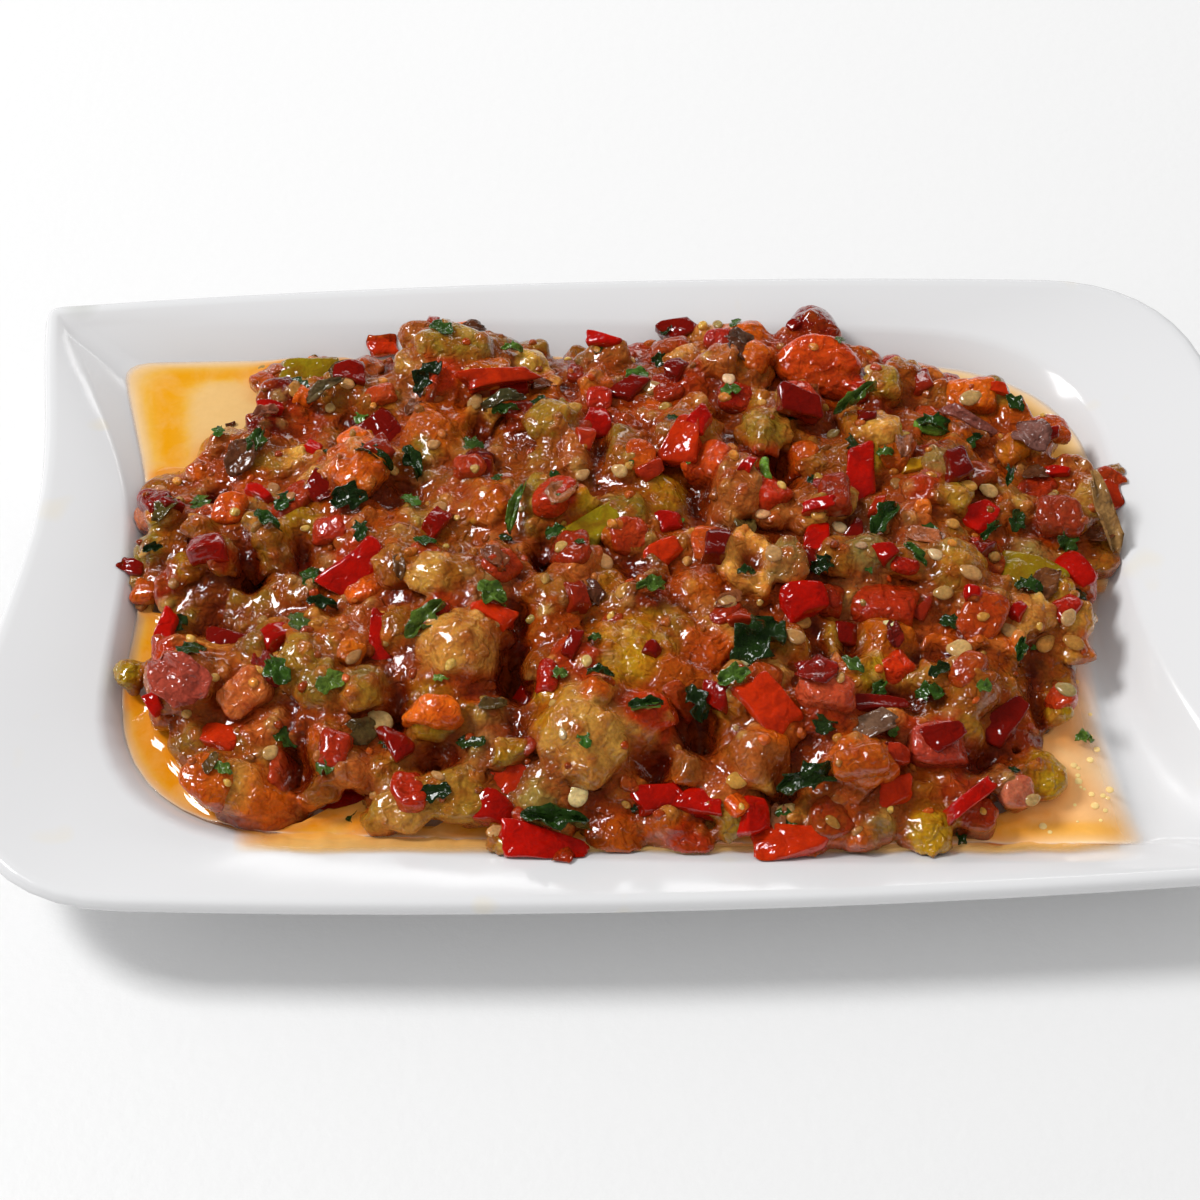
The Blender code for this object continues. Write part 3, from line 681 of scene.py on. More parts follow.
gaps = []
for u, v, wide, high in GAPS_SEEN:
    hit, _ = seen_place(salad_tree, u, v)
    gaps.append((hit, 0.5 * wide * PIXEL_MM * MM, 0.5 * high * PIXEL_MM * MM / math.sin(ELEVATION)))
print(len(gaps), "gaps seen")

# %% Join the lumps, the beads and the shrunken solid
CORE_WIDTH, CORE_HEIGHT = 0.965, 0.88
SAME_POINT = 1e-6             # metres
FILL_COUNT, FILL_SPACING = 330, 7.0 * MM
LUMP_SINK, FILL_SINK, BEAD_SINK = 0.62, 0.88, 0.55      # share of the height under the surface
BEAD_COUNT, BEAD_SPACING = 1500, 2.3 * MM
BEAD_PATCH, BEAD_FEW = 11.0 * MM, -0.12                 # beads come in patches of this size
VOXEL = 0.62 * MM
BEAD_TINTS = [(194, 130, 52), (170, 92, 30), (180, 84, 24), (162, 60, 12), (204, 158, 80)]


def lump_copies():
    """Copies for the lumps in the table, then for the places between them."""
    copies, heads = [], []
    for u, v, wide, high, name in PULP_SEEN:
        hit, normal = seen_place(salad_tree, u, v)
        size = [wide * PIXEL_MM * MM, high * PIXEL_MM * 1.1 * MM,
                0.75 * min(wide, high) * PIXEL_MM * MM]
        colour = vary(TINTS[name], 0.08)
        copies.append(copy_of(rng.choice(LUMPS), hit, axes_for(normal, level_right, 0.6), size,
                              colour, LUMP_SINK, rng.uniform(-0.3, 0.3)))
        heads.append((hit, max(size) / 2, colour))
    seen = list(heads)
    for x, y in spread(FILL_COUNT, FILL_SPACING):
        spot = Vector((x, y, drop(salad_tree, x, y)))
        wide = rng.uniform(6.0, 12.0) * MM
        size = [wide, wide * rng.uniform(0.7, 1.0), wide * rng.uniform(0.55, 0.85)]
        colour = vary(TINTS[rng.choice(PULP_MIX)], 0.16)
        copies.append(copy_of(rng.choice(LUMPS), spot, axes_for(UP, flat_turn(), 0.5), size, colour,
                              FILL_SINK, rng.uniform(-0.5, 0.5)))
        if not any((spot - head).length < 0.6 * reach for head, reach, _ in seen):
            heads.append((spot, wide / 2, colour))
    return copies, heads


def bead_copies_on(tree):
    """Small beads that sit half in the surface, thick in some places and thin in others."""
    copies, heads = [], []
    for x, y in spread(BEAD_COUNT, BEAD_SPACING, 25):
        hit, normal = ray_down(tree, x, y)
        if hit is None or noise.noise(hit / BEAD_PATCH) < BEAD_FEW:
            continue
        wide = rng.uniform(1.7, 3.2) * MM
        size = [wide, wide * rng.uniform(0.7, 1.0), wide * rng.uniform(0.7, 1.0)]
        colour = vary(rng.choice(BEAD_TINTS), 0.15)
        copies.append(copy_of(rng.choice(BEADS), hit, axes_for(normal, flat_turn(), 0.0), size,
                              colour, BEAD_SINK))
        heads.append((hit, wide / 2, colour))
    return copies, heads


def fuse(name, copies, voxel, rounds, *others):
    """Join copies and other meshes into one skin, and soften it."""
    blob = join_copies(name, copies, PULP)
    if others:
        pick(blob, *others)
        bpy.ops.object.join()
    apply_modifier(blob, "REMESH", mode="VOXEL", voxel_size=voxel)
    apply_modifier(blob, "SMOOTH", factor=0.5, iterations=rounds)
    return blob


core = bpy.data.objects.new("core", CAD["salad"].data.copy())
scene.collection.objects.link(core)
in_edit_mode(core, (bpy.ops.mesh.remove_doubles, {"threshold": SAME_POINT}))
core_points = points_of(core)
base_z = core_points[:, 2].min()
core_points[:, :2] *= CORE_WIDTH
core_points[:, 2] = base_z + (core_points[:, 2] - base_z) * CORE_HEIGHT
set_points(core, core_points)

copies, heads = lump_copies()
rough_lumps = join_copies("rough_lumps", copies, PULP)
lump_tree = tree_of(rough_lumps, core)
bpy.data.objects.remove(rough_lumps)
bead_copies, bead_heads = bead_copies_on(lump_tree)
mass = fuse("salad_pulp", copies + bead_copies, VOXEL, 4, core)
print("mass:", len(mass.data.polygons), "faces,", len(bead_heads), "beads")


# %% [markdown]
# Once the skin is made, thick juice fills its hollows in part, the gaps between the clumps are
# pressed in, and a knobbly relief is added where the pulp is full of seeds. Each point then takes
# the colour of the lump or bead it belongs to. The borders are bent by noise, so that colours run
# into each other as they do in real juice.

# %% Relief and colours of a fused skin
KNOB_SIZE, KNOB_HEIGHT, KNOB_PATCH = 2.2 * MM, 0.50 * MM, 9.0 * MM
GRAIN_SIZE, GRAIN_HEIGHT = 1.9 * MM, 0.22 * MM
BORDER_WIDTH, BEND_SIZE, BEND = 0.30, 3.0 * MM, 1.8 * MM
BEAD_TINT = 0.55              # how strongly a bead's own colour shows
GAP_PRESS = 4.5 * MM
GEL_FILL, GEL_START = 0.55, 0.4 * MM            # share of a hollow that thick juice fills
KEPT_SHARE = 0.53             # of the triangles; flat parts, such as the underside, lose most
MAP_STEP = 1.0 * MM
MAP_CELLS = [int((salad_high[k] - salad_low[k]) / MAP_STEP) + 3 for k in range(2)]
GAP_REACH = 4                 # cells of the height map on either side


def map_cell(places):
    """The cell of the height map that each point lies in."""
    return tuple(((places[:, k] - salad_low[k]) / MAP_STEP).astype(int).clip(0, MAP_CELLS[k] - 1)
                 for k in range(2))


def height_map(*many):
    """The height of the heap's surface, averaged over a few millimetres."""
    top = np.full(MAP_CELLS, OIL_LEVEL)
    for places in many:
        np.maximum.at(top, map_cell(places), places[:, 2])
    wide = sum(np.roll(np.roll(top, a, 0), b, 1) for a in range(-GAP_REACH, GAP_REACH + 1)
               for b in range(-GAP_REACH, GAP_REACH + 1))
    return wide / (2 * GAP_REACH + 1) ** 2


def level_around(places, around=None):
    """The averaged height at each point."""
    return (height_map(places) if around is None else around)[map_cell(places)]


def search_of(heads):
    finder = kdtree.KDTree(len(heads))
    for i, (head, _, _) in enumerate(heads):
        finder.insert(head, i)
    finder.balance()
    return finder


def gap_share(places):
    """How far each point is in one of the gaps, 0 to 1."""
    share = np.zeros(len(places))
    for spot, wide, long in gaps:
        away = ((places[:, 0] - spot.x) / wide) ** 2 + ((places[:, 1] - spot.y) / long) ** 2
        share = np.maximum(share, np.exp(-away))
    return share


def shape_skin(blob, knobs, fill):
    """Add the knobs and grain, fill the hollows in part, and press the gaps in."""
    blob.data.shade_smooth()
    places = points_of(blob)
    normals = np.empty(3 * len(places))
    blob.data.vertex_normals.foreach_get("vector", normals)
    normals = normals.reshape(-1, 3)
    lift = np.empty(len(places))
    for i, p in enumerate(places):
        spot = Vector(p)
        seedy = min(1.0, max(0.15, 0.6 + 1.6 * noise.noise(spot / KNOB_PATCH)))
        near = noise.voronoi(spot / KNOB_SIZE)[0][0]
        lift[i] = (knobs * seedy * KNOB_HEIGHT * (0.6 - near ** 2)
                   + GRAIN_HEIGHT * noise.noise(spot / GRAIN_SIZE))
    above = np.clip((places[:, 2] - base_z - 0.5 * MM) / MM, 0.0, 1.0)
    places = places + normals * (lift * above)[:, None]
    hollow = np.maximum(level_around(places) - GEL_START - places[:, 2], 0.0)
    facing_up = np.clip(3.0 * normals[:, 2], 0.0, 1.0)
    places[:, 2] += fill * hollow * facing_up * (1.0 - gap_share(places)) * above
    places[:, 2] -= GAP_PRESS * gap_share(places) * above
    lowest = np.maximum(floor_under(places) + CLEAR, base_z)
    places[:, 2] = np.minimum(np.maximum(places[:, 2], lowest), TOP_LIMIT)
    set_points(blob, places)
    return places


def paint_by_heads(places, heads, bead_heads=()):
    """The colour of each point: that of its lump, mixed at the borders, or of its bead."""
    finder = search_of(heads)
    bead_finder = search_of(bead_heads) if bead_heads else None
    lights = [np.array(linear(head[2])[:3]) for head in heads]
    bead_lights = [np.array(linear(head[2])[:3]) for head in bead_heads]
    colours = np.ones((len(places), 4))
    for i, p in enumerate(places):
        spot = Vector(p)
        bent = spot + noise.noise_vector(spot / BEND_SIZE) * BEND
        around = sorted(((bent - place).length / heads[k][1], k)
                        for place, k, _ in finder.find_n(bent, 5))
        (first, a), (second, b) = around[:2]
        share = 0.5 * max(0.0, 1.0 - (second - first) / BORDER_WIDTH)
        colour = (1 - share) * lights[a] + share * lights[b]
        if bead_finder:
            _, k, away = bead_finder.find(spot)
            near = min(1.0, max(0.0, 2.6 - 2.0 * away / bead_heads[k][1]))
            colour = colour * (1 - BEAD_TINT * near) + BEAD_TINT * near * bead_lights[k]
        colours[i, :3] = colour
    return colours


shape_skin(mass, 1.0, GEL_FILL)
apply_modifier(mass, "DECIMATE", ratio=KEPT_SHARE)
places = points_of(mass)
colours = paint_by_heads(places, heads, bead_heads)
print("painted", len(colours), "points")


# %% [markdown]
# Little light gets into the gaps between the lumps, where juice collects, so they look dark red. That
# shade is painted into the tint as a dark juice red, by how deep a point lies: its height less the
# height of the surface around it. It is painted rather than left to shadows alone, as real pulp lets
# light through.

# %% Juice and painted shade in the gaps
GAP_DEPTH, GAP_START = 2.4 * MM, 0.5 * MM
# painted shade for the deepest places and the gaps, partly the colour of dark juice
JUICE_AND_SHADE = np.array(linear((80, 3, 0))[:3])
GEL, GEL_SHARE = np.array(linear((148, 48, 2))[:3]), 0.75


def darken_gaps(places, colours, around, most):
    """Mix gel into a skin's hollows, and painted shade in dark juice red into its deepest places and
    gaps.
    """
    depth = np.clip((level_around(places, around) - places[:, 2] + GAP_START) / GAP_DEPTH, 0.0, 1.0)
    gel = (GEL_SHARE * np.clip(2.2 * depth, 0.0, 1.0) * most)[:, None]
    deep = (most * np.clip(1.5 * depth - 0.7 + 0.9 * gap_share(places), 0.0, 1.0))[:, None]
    mixed = colours[:, :3] * (1 - gel) + GEL * gel
    colours[:, :3] = mixed * (1 - deep) + JUICE_AND_SHADE * deep


def finish_skin(blob, colours, finish):
    """Give a fused skin its colours, its finish and its body."""
    for layer in [a for a in blob.data.attributes if a.name == "tint"]:
        blob.data.attributes.remove(layer)
    paint(blob.data, colours)
    blob.data.materials.clear()
    blob.data.materials.append(finish)
    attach(blob, "root")


around = height_map(places)
darken_gaps(places, colours, around, 0.9)
finish_skin(mass, colours, PULP)
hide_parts("salad")
pulp_tree = tree_of(mass, CAD["dish"], CAD["oil"])
print("mass painted,", len(colours), "points")

# %% [markdown]
# ## The chopped pieces
# These tables list the pieces that the photo shows: pixel across and down, length and width in
# pixels, the angle of the long side in degrees, and the colour where a kind has more than one. A
# seed only needs its pixel and its size. More of each kind are then spread between them, so that
# the heap is as busy as the real one.

# %% Pieces seen in the photo
RED, DARK_RED, ORANGE_RED = (178, 14, 2), (116, 12, 2), (196, 46, 6)
ORANGE, BRICK, GREEN_PEPPER = (212, 96, 14), (170, 44, 14), (146, 122, 14)
PEPPER_SEEN = [
    (500, 377, 78, 20, 12, ORANGE_RED), (509, 391, 44, 18, 20, DARK_RED), (603, 341, 36, 14, -15, RED),
    (680, 330, 38, 30, 30, DARK_RED), (596, 424, 36, 32, 80, RED), (683, 441, 52, 38, 80, ORANGE_RED),
    (668, 524, 30, 24, 20, RED), (664, 554, 42, 26, 40, ORANGE_RED), (383, 433, 44, 50, 60, DARK_RED),
    (270, 410, 28, 16, 15, RED), (258, 493, 38, 13, -45, RED), (357, 570, 62, 40, 55, RED),
    (380, 648, 70, 28, 85, RED), (167, 628, 40, 19, 80, RED), (226, 641, 40, 22, -8, DARK_RED),
    (155, 702, 26, 16, -60, RED), (360, 795, 82, 26, 5, RED), (523, 702, 84, 22, 66, RED),
    (510, 780, 62, 46, -35, ORANGE_RED), (494, 810, 38, 30, -20, RED), (541, 845, 80, 34, -6, RED),
    (660, 797, 50, 28, 8, RED), (700, 802, 24, 46, 80, RED), (770, 703, 62, 42, -50, ORANGE_RED),
    (805, 600, 46, 36, 20, RED), (845, 634, 28, 26, 0, DARK_RED), (859, 473, 72, 34, 82, RED),
    (819, 505, 38, 14, 0, RED), (817, 541, 44, 26, 85, RED), (856, 531, 22, 16, 80, DARK_RED),
    (878, 507, 26, 13, 80, ORANGE_RED), (886, 553, 22, 20, 30, RED), (789, 841, 66, 36, 5, ORANGE_RED),
    (894, 792, 38, 26, 25, ORANGE_RED), (972, 797, 62, 16, 40, RED), (944, 736, 40, 26, 30, DARK_RED),
    (1003, 722, 56, 30, 50, DARK_RED), (895, 755, 30, 20, 0, BRICK), (973, 594, 18, 13, 0, RED),
    (1054, 473, 34, 11, -8, RED), (1075, 573, 44, 30, -50, RED), (980, 517, 40, 34, 50, RED),
    (573, 644, 32, 15, 70, DARK_RED), (801, 402, 50, 30, -20, DARK_RED), (748, 463, 20, 12, 60, RED),
    (630, 388, 40, 26, 50, DARK_RED), (319, 487, 40, 30, 70, DARK_RED), (172, 505, 24, 12, 5, DARK_RED),
    (875, 706, 60, 18, 5, DARK_RED), (384, 350, 34, 18, 0, ORANGE_RED),
    (307, 374, 66, 38, 8, GREEN_PEPPER),
    (594, 528, 66, 34, 50, GREEN_PEPPER), (1030, 573, 74, 42, -30, GREEN_PEPPER),
    (914, 466, 28, 16, 15, (190, 140, 14)), (650, 470, 30, 18, 30, BRICK), (700, 420, 30, 22, 60, RED),
]
TOMATO_SEEN = [
    (818, 367, 88, 62, -20, (206, 72, 14)), (971, 397, 58, 46, -10, ORANGE),
    (886, 608, 70, 50, -15, BRICK),
    (432, 710, 62, 32, -5, (222, 104, 18)), (895, 669, 40, 34, 40, ORANGE_RED),
    (982, 617, 60, 46, 60, (176, 66, 14)), (756, 358, 38, 34, 60, ORANGE),
    (1012, 450, 40, 34, 40, (196, 110, 20)),
    (331, 530, 42, 28, 10, (186, 52, 24)), (282, 768, 50, 32, 70, (186, 70, 26)),
    (244, 694, 56, 44, 40, (204, 106, 48)), (380, 396, 40, 26, 20, (176, 66, 22)),
    (599, 400, 30, 30, 0, (176, 36, 16)), (720, 340, 40, 26, 0, (170, 40, 26)),
    (1060, 517, 50, 44, 0, (150, 56, 26)), (938, 744, 60, 46, 10, (178, 60, 38)),
    (828, 690, 40, 60, 80, (190, 80, 44)), (923, 507, 20, 18, 0, (216, 110, 30)),
    (1017, 792, 34, 32, 0, (196, 110, 76)), (862, 761, 60, 34, 10, (176, 84, 16)),
]
SKIN_SEEN = [
    (1100, 517, 92, 22, -80, (166, 124, 72)), (1033, 444, 48, 38, -50, (128, 84, 74)),
    (965, 427, 66, 16, -35, (140, 78, 66)), (872, 736, 60, 32, 5, (124, 92, 70)),
    (180, 683, 66, 52, -40, (176, 72, 54)), (507, 407, 50, 18, 12, (66, 62, 34)),
    (328, 394, 48, 14, 30, (112, 96, 62)), (266, 419, 30, 12, 20, (176, 104, 76)),
    (519, 512, 60, 11, 80, (74, 104, 30)), (740, 345, 34, 16, -30, (92, 66, 50)),
]
LEAF_SEEN = [
    (433, 382, 46, 22, 60), (258, 446, 36, 20, 75), (371, 452, 46, 13, -35), (410, 466, 40, 20, -75),
    (351, 501, 40, 28, 5), (268, 524, 34, 14, -40), (322, 607, 32, 14, -10), (428, 619, 52, 24, 50),
    (491, 596, 34, 24, -40), (281, 673, 34, 22, -50), (557, 535, 22, 16, 10), (660, 361, 18, 15, 0),
    (511, 353, 24, 12, 5), (855, 406, 60, 13, 45), (933, 431, 40, 18, -18), (884, 524, 46, 22, 60),
    (822, 567, 24, 20, 30), (914, 559, 34, 10, -55), (1067, 539, 24, 20, 60), (1027, 593, 28, 22, -20),
    (1008, 482, 34, 10, 80), (757, 650, 70, 40, 52), (735, 680, 34, 20, 20), (650, 590, 30, 16, 15),
    (693, 707, 40, 20, -70), (646, 707, 34, 11, 5), (600, 676, 28, 9, -5), (560, 676, 18, 11, 0),
    (555, 826, 66, 22, -8), (809, 785, 62, 26, 18), (931, 698, 30, 18, 0), (939, 673, 24, 14, 30),
    (983, 688, 16, 14, 0), (1022, 650, 26, 12, 80), (746, 575, 20, 10, 5), (327, 769, 20, 18, 0),
    (885, 455, 18, 12, 0), (988, 537, 34, 10, 50), (153, 550, 22, 10, 15), (876, 690, 24, 14, 50),
    (507, 413, 30, 12, 0), (595, 640, 14, 8, 20), (960, 839, 24, 11, -85), (1083, 742, 20, 14, 10),
]
STALK_SEEN = [(764, 471, 30, 11, 88), (646, 705, 30, 8, 4), (929, 432, 38, 13, -15)]
THREAD_SEEN = [(1010, 849, 34, 3, 12), (231, 426, 12, 5, 30)]
SEED_SEEN = [
    (475, 403, 24), (574, 408, 20), (651, 388, 24), (605, 562, 22), (624, 591, 24), (774, 554, 24),
    (969, 486, 20), (989, 491, 22), (1009, 631, 22), (1068, 618, 22), (1045, 644, 24), (1074, 643, 24),
    (801, 621, 24), (796, 637, 24), (960, 649, 28), (785, 812, 26), (738, 780, 26), (496, 832, 22),
    (578, 795, 28), (270, 753, 20), (274, 489, 18), (381, 721, 30), (440, 508, 20), (970, 398, 26),
    (295, 390, 24), (840, 528, 18), (819, 514, 20), (582, 475, 18), (620, 471, 20), (953, 524, 16),
    (944, 593, 22), (971, 573, 26), (347, 384, 20), (331, 408, 16), (1032, 800, 18), (983, 617, 14),
    (728, 602, 22), (936, 555, 18),
]
print(len(PEPPER_SEEN), len(TOMATO_SEEN), len(SKIN_SEEN), len(LEAF_SEEN), len(SEED_SEEN), "seen")


# %% Ways to place the pieces
SEEN_SIZE = 0.94              # bent and tapered copies look a little larger than their size
CROWDED = 0.55                # share of the spacing that pieces seen in the photo keep free
NO_PIECES = 0.35              # where the surface dips into a gap by this share


def seen_copy(shapes, tree, spot, thick_mm, colour, sink, lean=0.45, face=0.5):
    """A copy at the place and angle that the photo shows: across, down, length, width, angle."""
    u, v, long_px, wide_px, angle = spot
    hit, normal = seen_place(tree, u, v)
    a = math.radians(angle)
    along = cam_right * math.cos(a) + cam_up * math.sin(a)
    facing = (normal + cam_back * face).normalized()
    size = [SEEN_SIZE * long_px * PIXEL_MM * MM, SEEN_SIZE * wide_px * PIXEL_MM * MM, thick_mm * MM]
    return copy_of(rng.choice(shapes), hit, axes_for(facing, along, lean), size, colour, sink)


def strewn_copies(shapes, tree, count, spacing, size_mm, uneven, colours, sink, keep_off=(),
                  swing=0.5):
    """Copies spread between the pieces that are already placed."""
    taken = [Vector(c[2]) for c in keep_off]
    copies = []
    for x, y in spread(count, spacing * MM):
        hit, normal = ray_down(tree, x, y)
        crowded = any((hit - t).length < CROWDED * spacing * MM for t in taken)
        if crowded or gap_share(np.array([hit]))[0] > NO_PIECES:
            continue
        grow = rng.uniform(1 - uneven, 1 + uneven)
        size = [side * grow * rng.uniform(0.8, 1.2) * MM for side in size_mm]
        tilt = Vector((rng.uniform(-swing, swing), rng.uniform(-swing, swing), 1.0))
        copies.append(copy_of(rng.choice(shapes), hit,
                              axes_for((normal + tilt).normalized(), flat_turn(), 0.2), size,
                              vary(rng.choice(colours), 0.2), sink))
    return copies


print("ways to place ready")

# %% [markdown]
# The tomato was cooked until its corners gave way, so its pieces are fused with each other where
# they touch, in a second skin that interlocks with the pulp.

# %% Soft tomato
TOMATO_VOXEL = 0.52 * MM
tomato_copies = [seen_copy(TOMATOES, pulp_tree, spot, 0.14 * min(spot[2:4]), vary(colour, 0.05),
                           sink=0.58)
                 for *spot, colour in TOMATO_SEEN]
tomato_copies += strewn_copies(
    TOMATOES, pulp_tree, count=75, spacing=11.0, size_mm=(7.0, 5.4, 4.2), uneven=0.40, sink=0.70,
    colours=[BRICK, (186, 74, 18), (164, 50, 16), ORANGE, (150, 24, 10)], keep_off=tomato_copies)
tomato_heads = [(Vector(c[2]), max(np.linalg.norm(c[1], axis=0)) / 2, c[3]) for c in tomato_copies]
tomato = fuse("salad_tomato", tomato_copies, TOMATO_VOXEL, 3)
tomato_places = shape_skin(tomato, 0.6, 0.0)
tomato_colours = paint_by_heads(tomato_places, tomato_heads)
darken_gaps(tomato_places, tomato_colours, height_map(places, tomato_places), 0.6)
finish_skin(tomato, tomato_colours, TOMATO)
mass_tree = tree_of(mass, tomato, CAD["dish"], CAD["oil"])
print("tomato:", len(tomato_places), "points")

# %% Pepper, skins, parsley and seeds
GREENS = [(58, 88, 28), (40, 66, 20), (86, 114, 40), (30, 48, 16)]
STALK_GREEN, THREAD_BROWN = (112, 152, 48), (96, 40, 16)
SEED_TINTS = [(196, 156, 98), (180, 134, 80), (212, 184, 134), (190, 134, 60)]

pepper_copies = [seen_copy(PEPPERS, mass_tree, spot, rng.uniform(3.2, 4.2), vary(colour, 0.06),
                           sink=0.76) for *spot, colour in PEPPER_SEEN]
skin_copies = [seen_copy(SKINS, mass_tree, spot, 6.0, colour, sink=0.35)
               for *spot, colour in SKIN_SEEN]
leaf_copies = [seen_copy(LEAVES, mass_tree, spot, 0.16 * spot[2], vary(rng.choice(GREENS), 0.15),
                         sink=0.42) for spot in LEAF_SEEN]
stalk_copies = [seen_copy(STALKS, mass_tree, spot, 0.18 * spot[3], STALK_GREEN, sink=0.30)
                for spot in STALK_SEEN]
stalk_copies += [seen_copy(STALKS, mass_tree, spot, 0.18 * spot[3], THREAD_BROWN, sink=0.1,
                           lean=0.0, face=0.0) for spot in THREAD_SEEN]
seed_copies = [seen_copy(SEEDS, mass_tree, (u, v, 0.9 * wide, 0.75 * wide, rng.uniform(0, 180)),
                         1.3, vary(rng.choice(SEED_TINTS), 0.1), sink=0.40)
               for u, v, wide in SEED_SEEN]

pepper_copies += strewn_copies(
    PEPPERS, mass_tree, count=55, spacing=13.0, size_mm=(5.0, 3.4, 3.2), uneven=0.40, sink=0.74,
    colours=[RED, DARK_RED, DARK_RED, ORANGE_RED, BRICK], keep_off=pepper_copies)
skin_copies += strewn_copies(
    SKINS, mass_tree, count=30, spacing=16.0, size_mm=(6.0, 3.6, 3.0), uneven=0.35, sink=0.58,
    colours=[(110, 64, 36), (84, 66, 30), (150, 84, 50), (120, 20, 10)])
leaf_copies += strewn_copies(
    LEAVES, mass_tree, count=90, spacing=10.0, size_mm=(3.6, 2.3, 0.9), uneven=0.50, sink=0.38,
    colours=GREENS, keep_off=leaf_copies, swing=0.55)
seed_copies += strewn_copies(
    SEEDS, mass_tree, count=45, spacing=13.0, size_mm=(2.5, 2.1, 1.1), uneven=0.25, sink=0.45,
    colours=SEED_TINTS, keep_off=seed_copies)
small_beads = strewn_copies(
    BEADS, mass_tree, count=260, spacing=6.0, size_mm=(1.9, 1.6, 1.5), uneven=0.35, sink=0.60,
    colours=BEAD_TINTS)

for name, copies, finish in (("salad_pepper", pepper_copies, PEPPER),
                             ("salad_skins", skin_copies, SKIN),
                             ("salad_parsley", leaf_copies + stalk_copies, LEAF),
                             ("salad_seeds", seed_copies, SEEDY),
                             ("salad_beads", small_beads, PULP)):
    join_copies(name, copies, finish, "salad")


# %% [markdown]
# ## The oil
# The oil lies level and shows the porcelain through itself, so its colour is a matter of depth:
# deep yellow over the moat along the walls, pale peach over the raised panel, nothing where it
# thins out against the wall. A real refracting liquid would be slow and grainy here. Instead the
# surface is a ring from the heap out to the wall, painted by the depth under each point.

# %% Where the oil meets the wall and the heap
OIL_COLUMNS, OIL_RINGS = 480, 26
SHORE_FROM, SHORE_TO, SHORE_STEP, SHORE_INSET = 0.045, 0.12, 0.25 * MM, 0.15 * MM
UNDER_HEAP, LEAST_WIDTH = 3.0 * MM, 2.5 * MM
# where the oil ends on the right in the photo, in mm
DRY_EDGE = [(86.0, -4.0), (82.0, -20.0), (82.0, -36.0), (83.5, -48.0), (86.5, -64.0)]


def shore_radius(angle):
    """How far the oil reaches in one direction, to the wall or to the dry right end."""
    x, y = math.cos(angle), math.sin(angle)
    reach = SHORE_FROM
    while reach < SHORE_TO and (drop(dish_tree, reach * x, reach * y) or 1.0) < OIL_LEVEL:
        reach += SHORE_STEP
    for (ax, ay), (bx, by) in zip(DRY_EDGE, DRY_EDGE[1:]):
        a, b = Vector((ax * MM, ay * MM)), Vector((bx * MM, by * MM))
        side = b - a
        across = x * side.y - y * side.x
        if abs(across) > 1e-9:
            far = (a.x * side.y - a.y * side.x) / across
            share = (a.x * y - a.y * x) / across
            if far > 0 and 0 <= share <= 1:
                reach = min(reach, far)
    return reach


angles = [math.tau * k / OIL_COLUMNS for k in range(OIL_COLUMNS)]
outer = np.array([shore_radius(a) for a in angles])
outer = sum(np.roll(outer, s) for s in (-1, 0, 1)) / 3 - SHORE_INSET

# the heap's outline just above the oil
heap_points = places[(places[:, 2] > OIL_LEVEL - 0.2 * MM) & (places[:, 2] < OIL_LEVEL + 4 * MM)]
heap_angle = np.arctan2(heap_points[:, 1], heap_points[:, 0]) % math.tau
heap_reach = np.hypot(heap_points[:, 0], heap_points[:, 1])
inner = np.zeros(OIL_COLUMNS)
np.maximum.at(inner, (heap_angle / math.tau * OIL_COLUMNS).astype(int) % OIL_COLUMNS, heap_reach)
inner = np.maximum.reduce([np.roll(inner, s) for s in (-1, 0, 1)])
edge_of_heap = inner.copy()
inner = np.minimum(inner - UNDER_HEAP, outer - LEAST_WIDTH)
print("oil reaches", round(outer.max(), 4), "narrowest", round((outer - edge_of_heap).min(), 4))


# %% Build and paint the oil
MENISCUS, MENISCUS_REACH = 0.75 * MM, 1.1 * MM
WALL_RISE, WALL_REACH = 0.6 * MENISCUS, 0.7 * MENISCUS_REACH
LEAST_THICK = 0.08 * MM
OIL_STOPS = [(0.0, (232, 218, 206)), (0.30, (234, 208, 176)), (0.8, (236, 198, 144)),
             (1.5, (226, 182, 114)), (2.3, (228, 172, 64)), (3.4, (228, 154, 10))]
NEAR_HEAP, NEAR_SHARE = np.array(linear((214, 122, 14))[:3]), 0.80
HALO, HALO_FRONT = 2.2, 3.2   # how far the heap's juice tints the oil, and how much more in front
THIN_RIGHT = 0.62             # the oil in the photo is thinner on the right
DEEP_LEFT = 0.60              # and deeper at the front left
SHADE_LIFT = 0.25             # light that reaches the oil's shaded front right through the porcelain
FULL_COLOUR, DRY_FADE = 0.32, 9.0       # depth in mm that hides the porcelain; width of the dry fade
OIL_GLOW = 0.08               # light that comes back through the oil from the porcelain


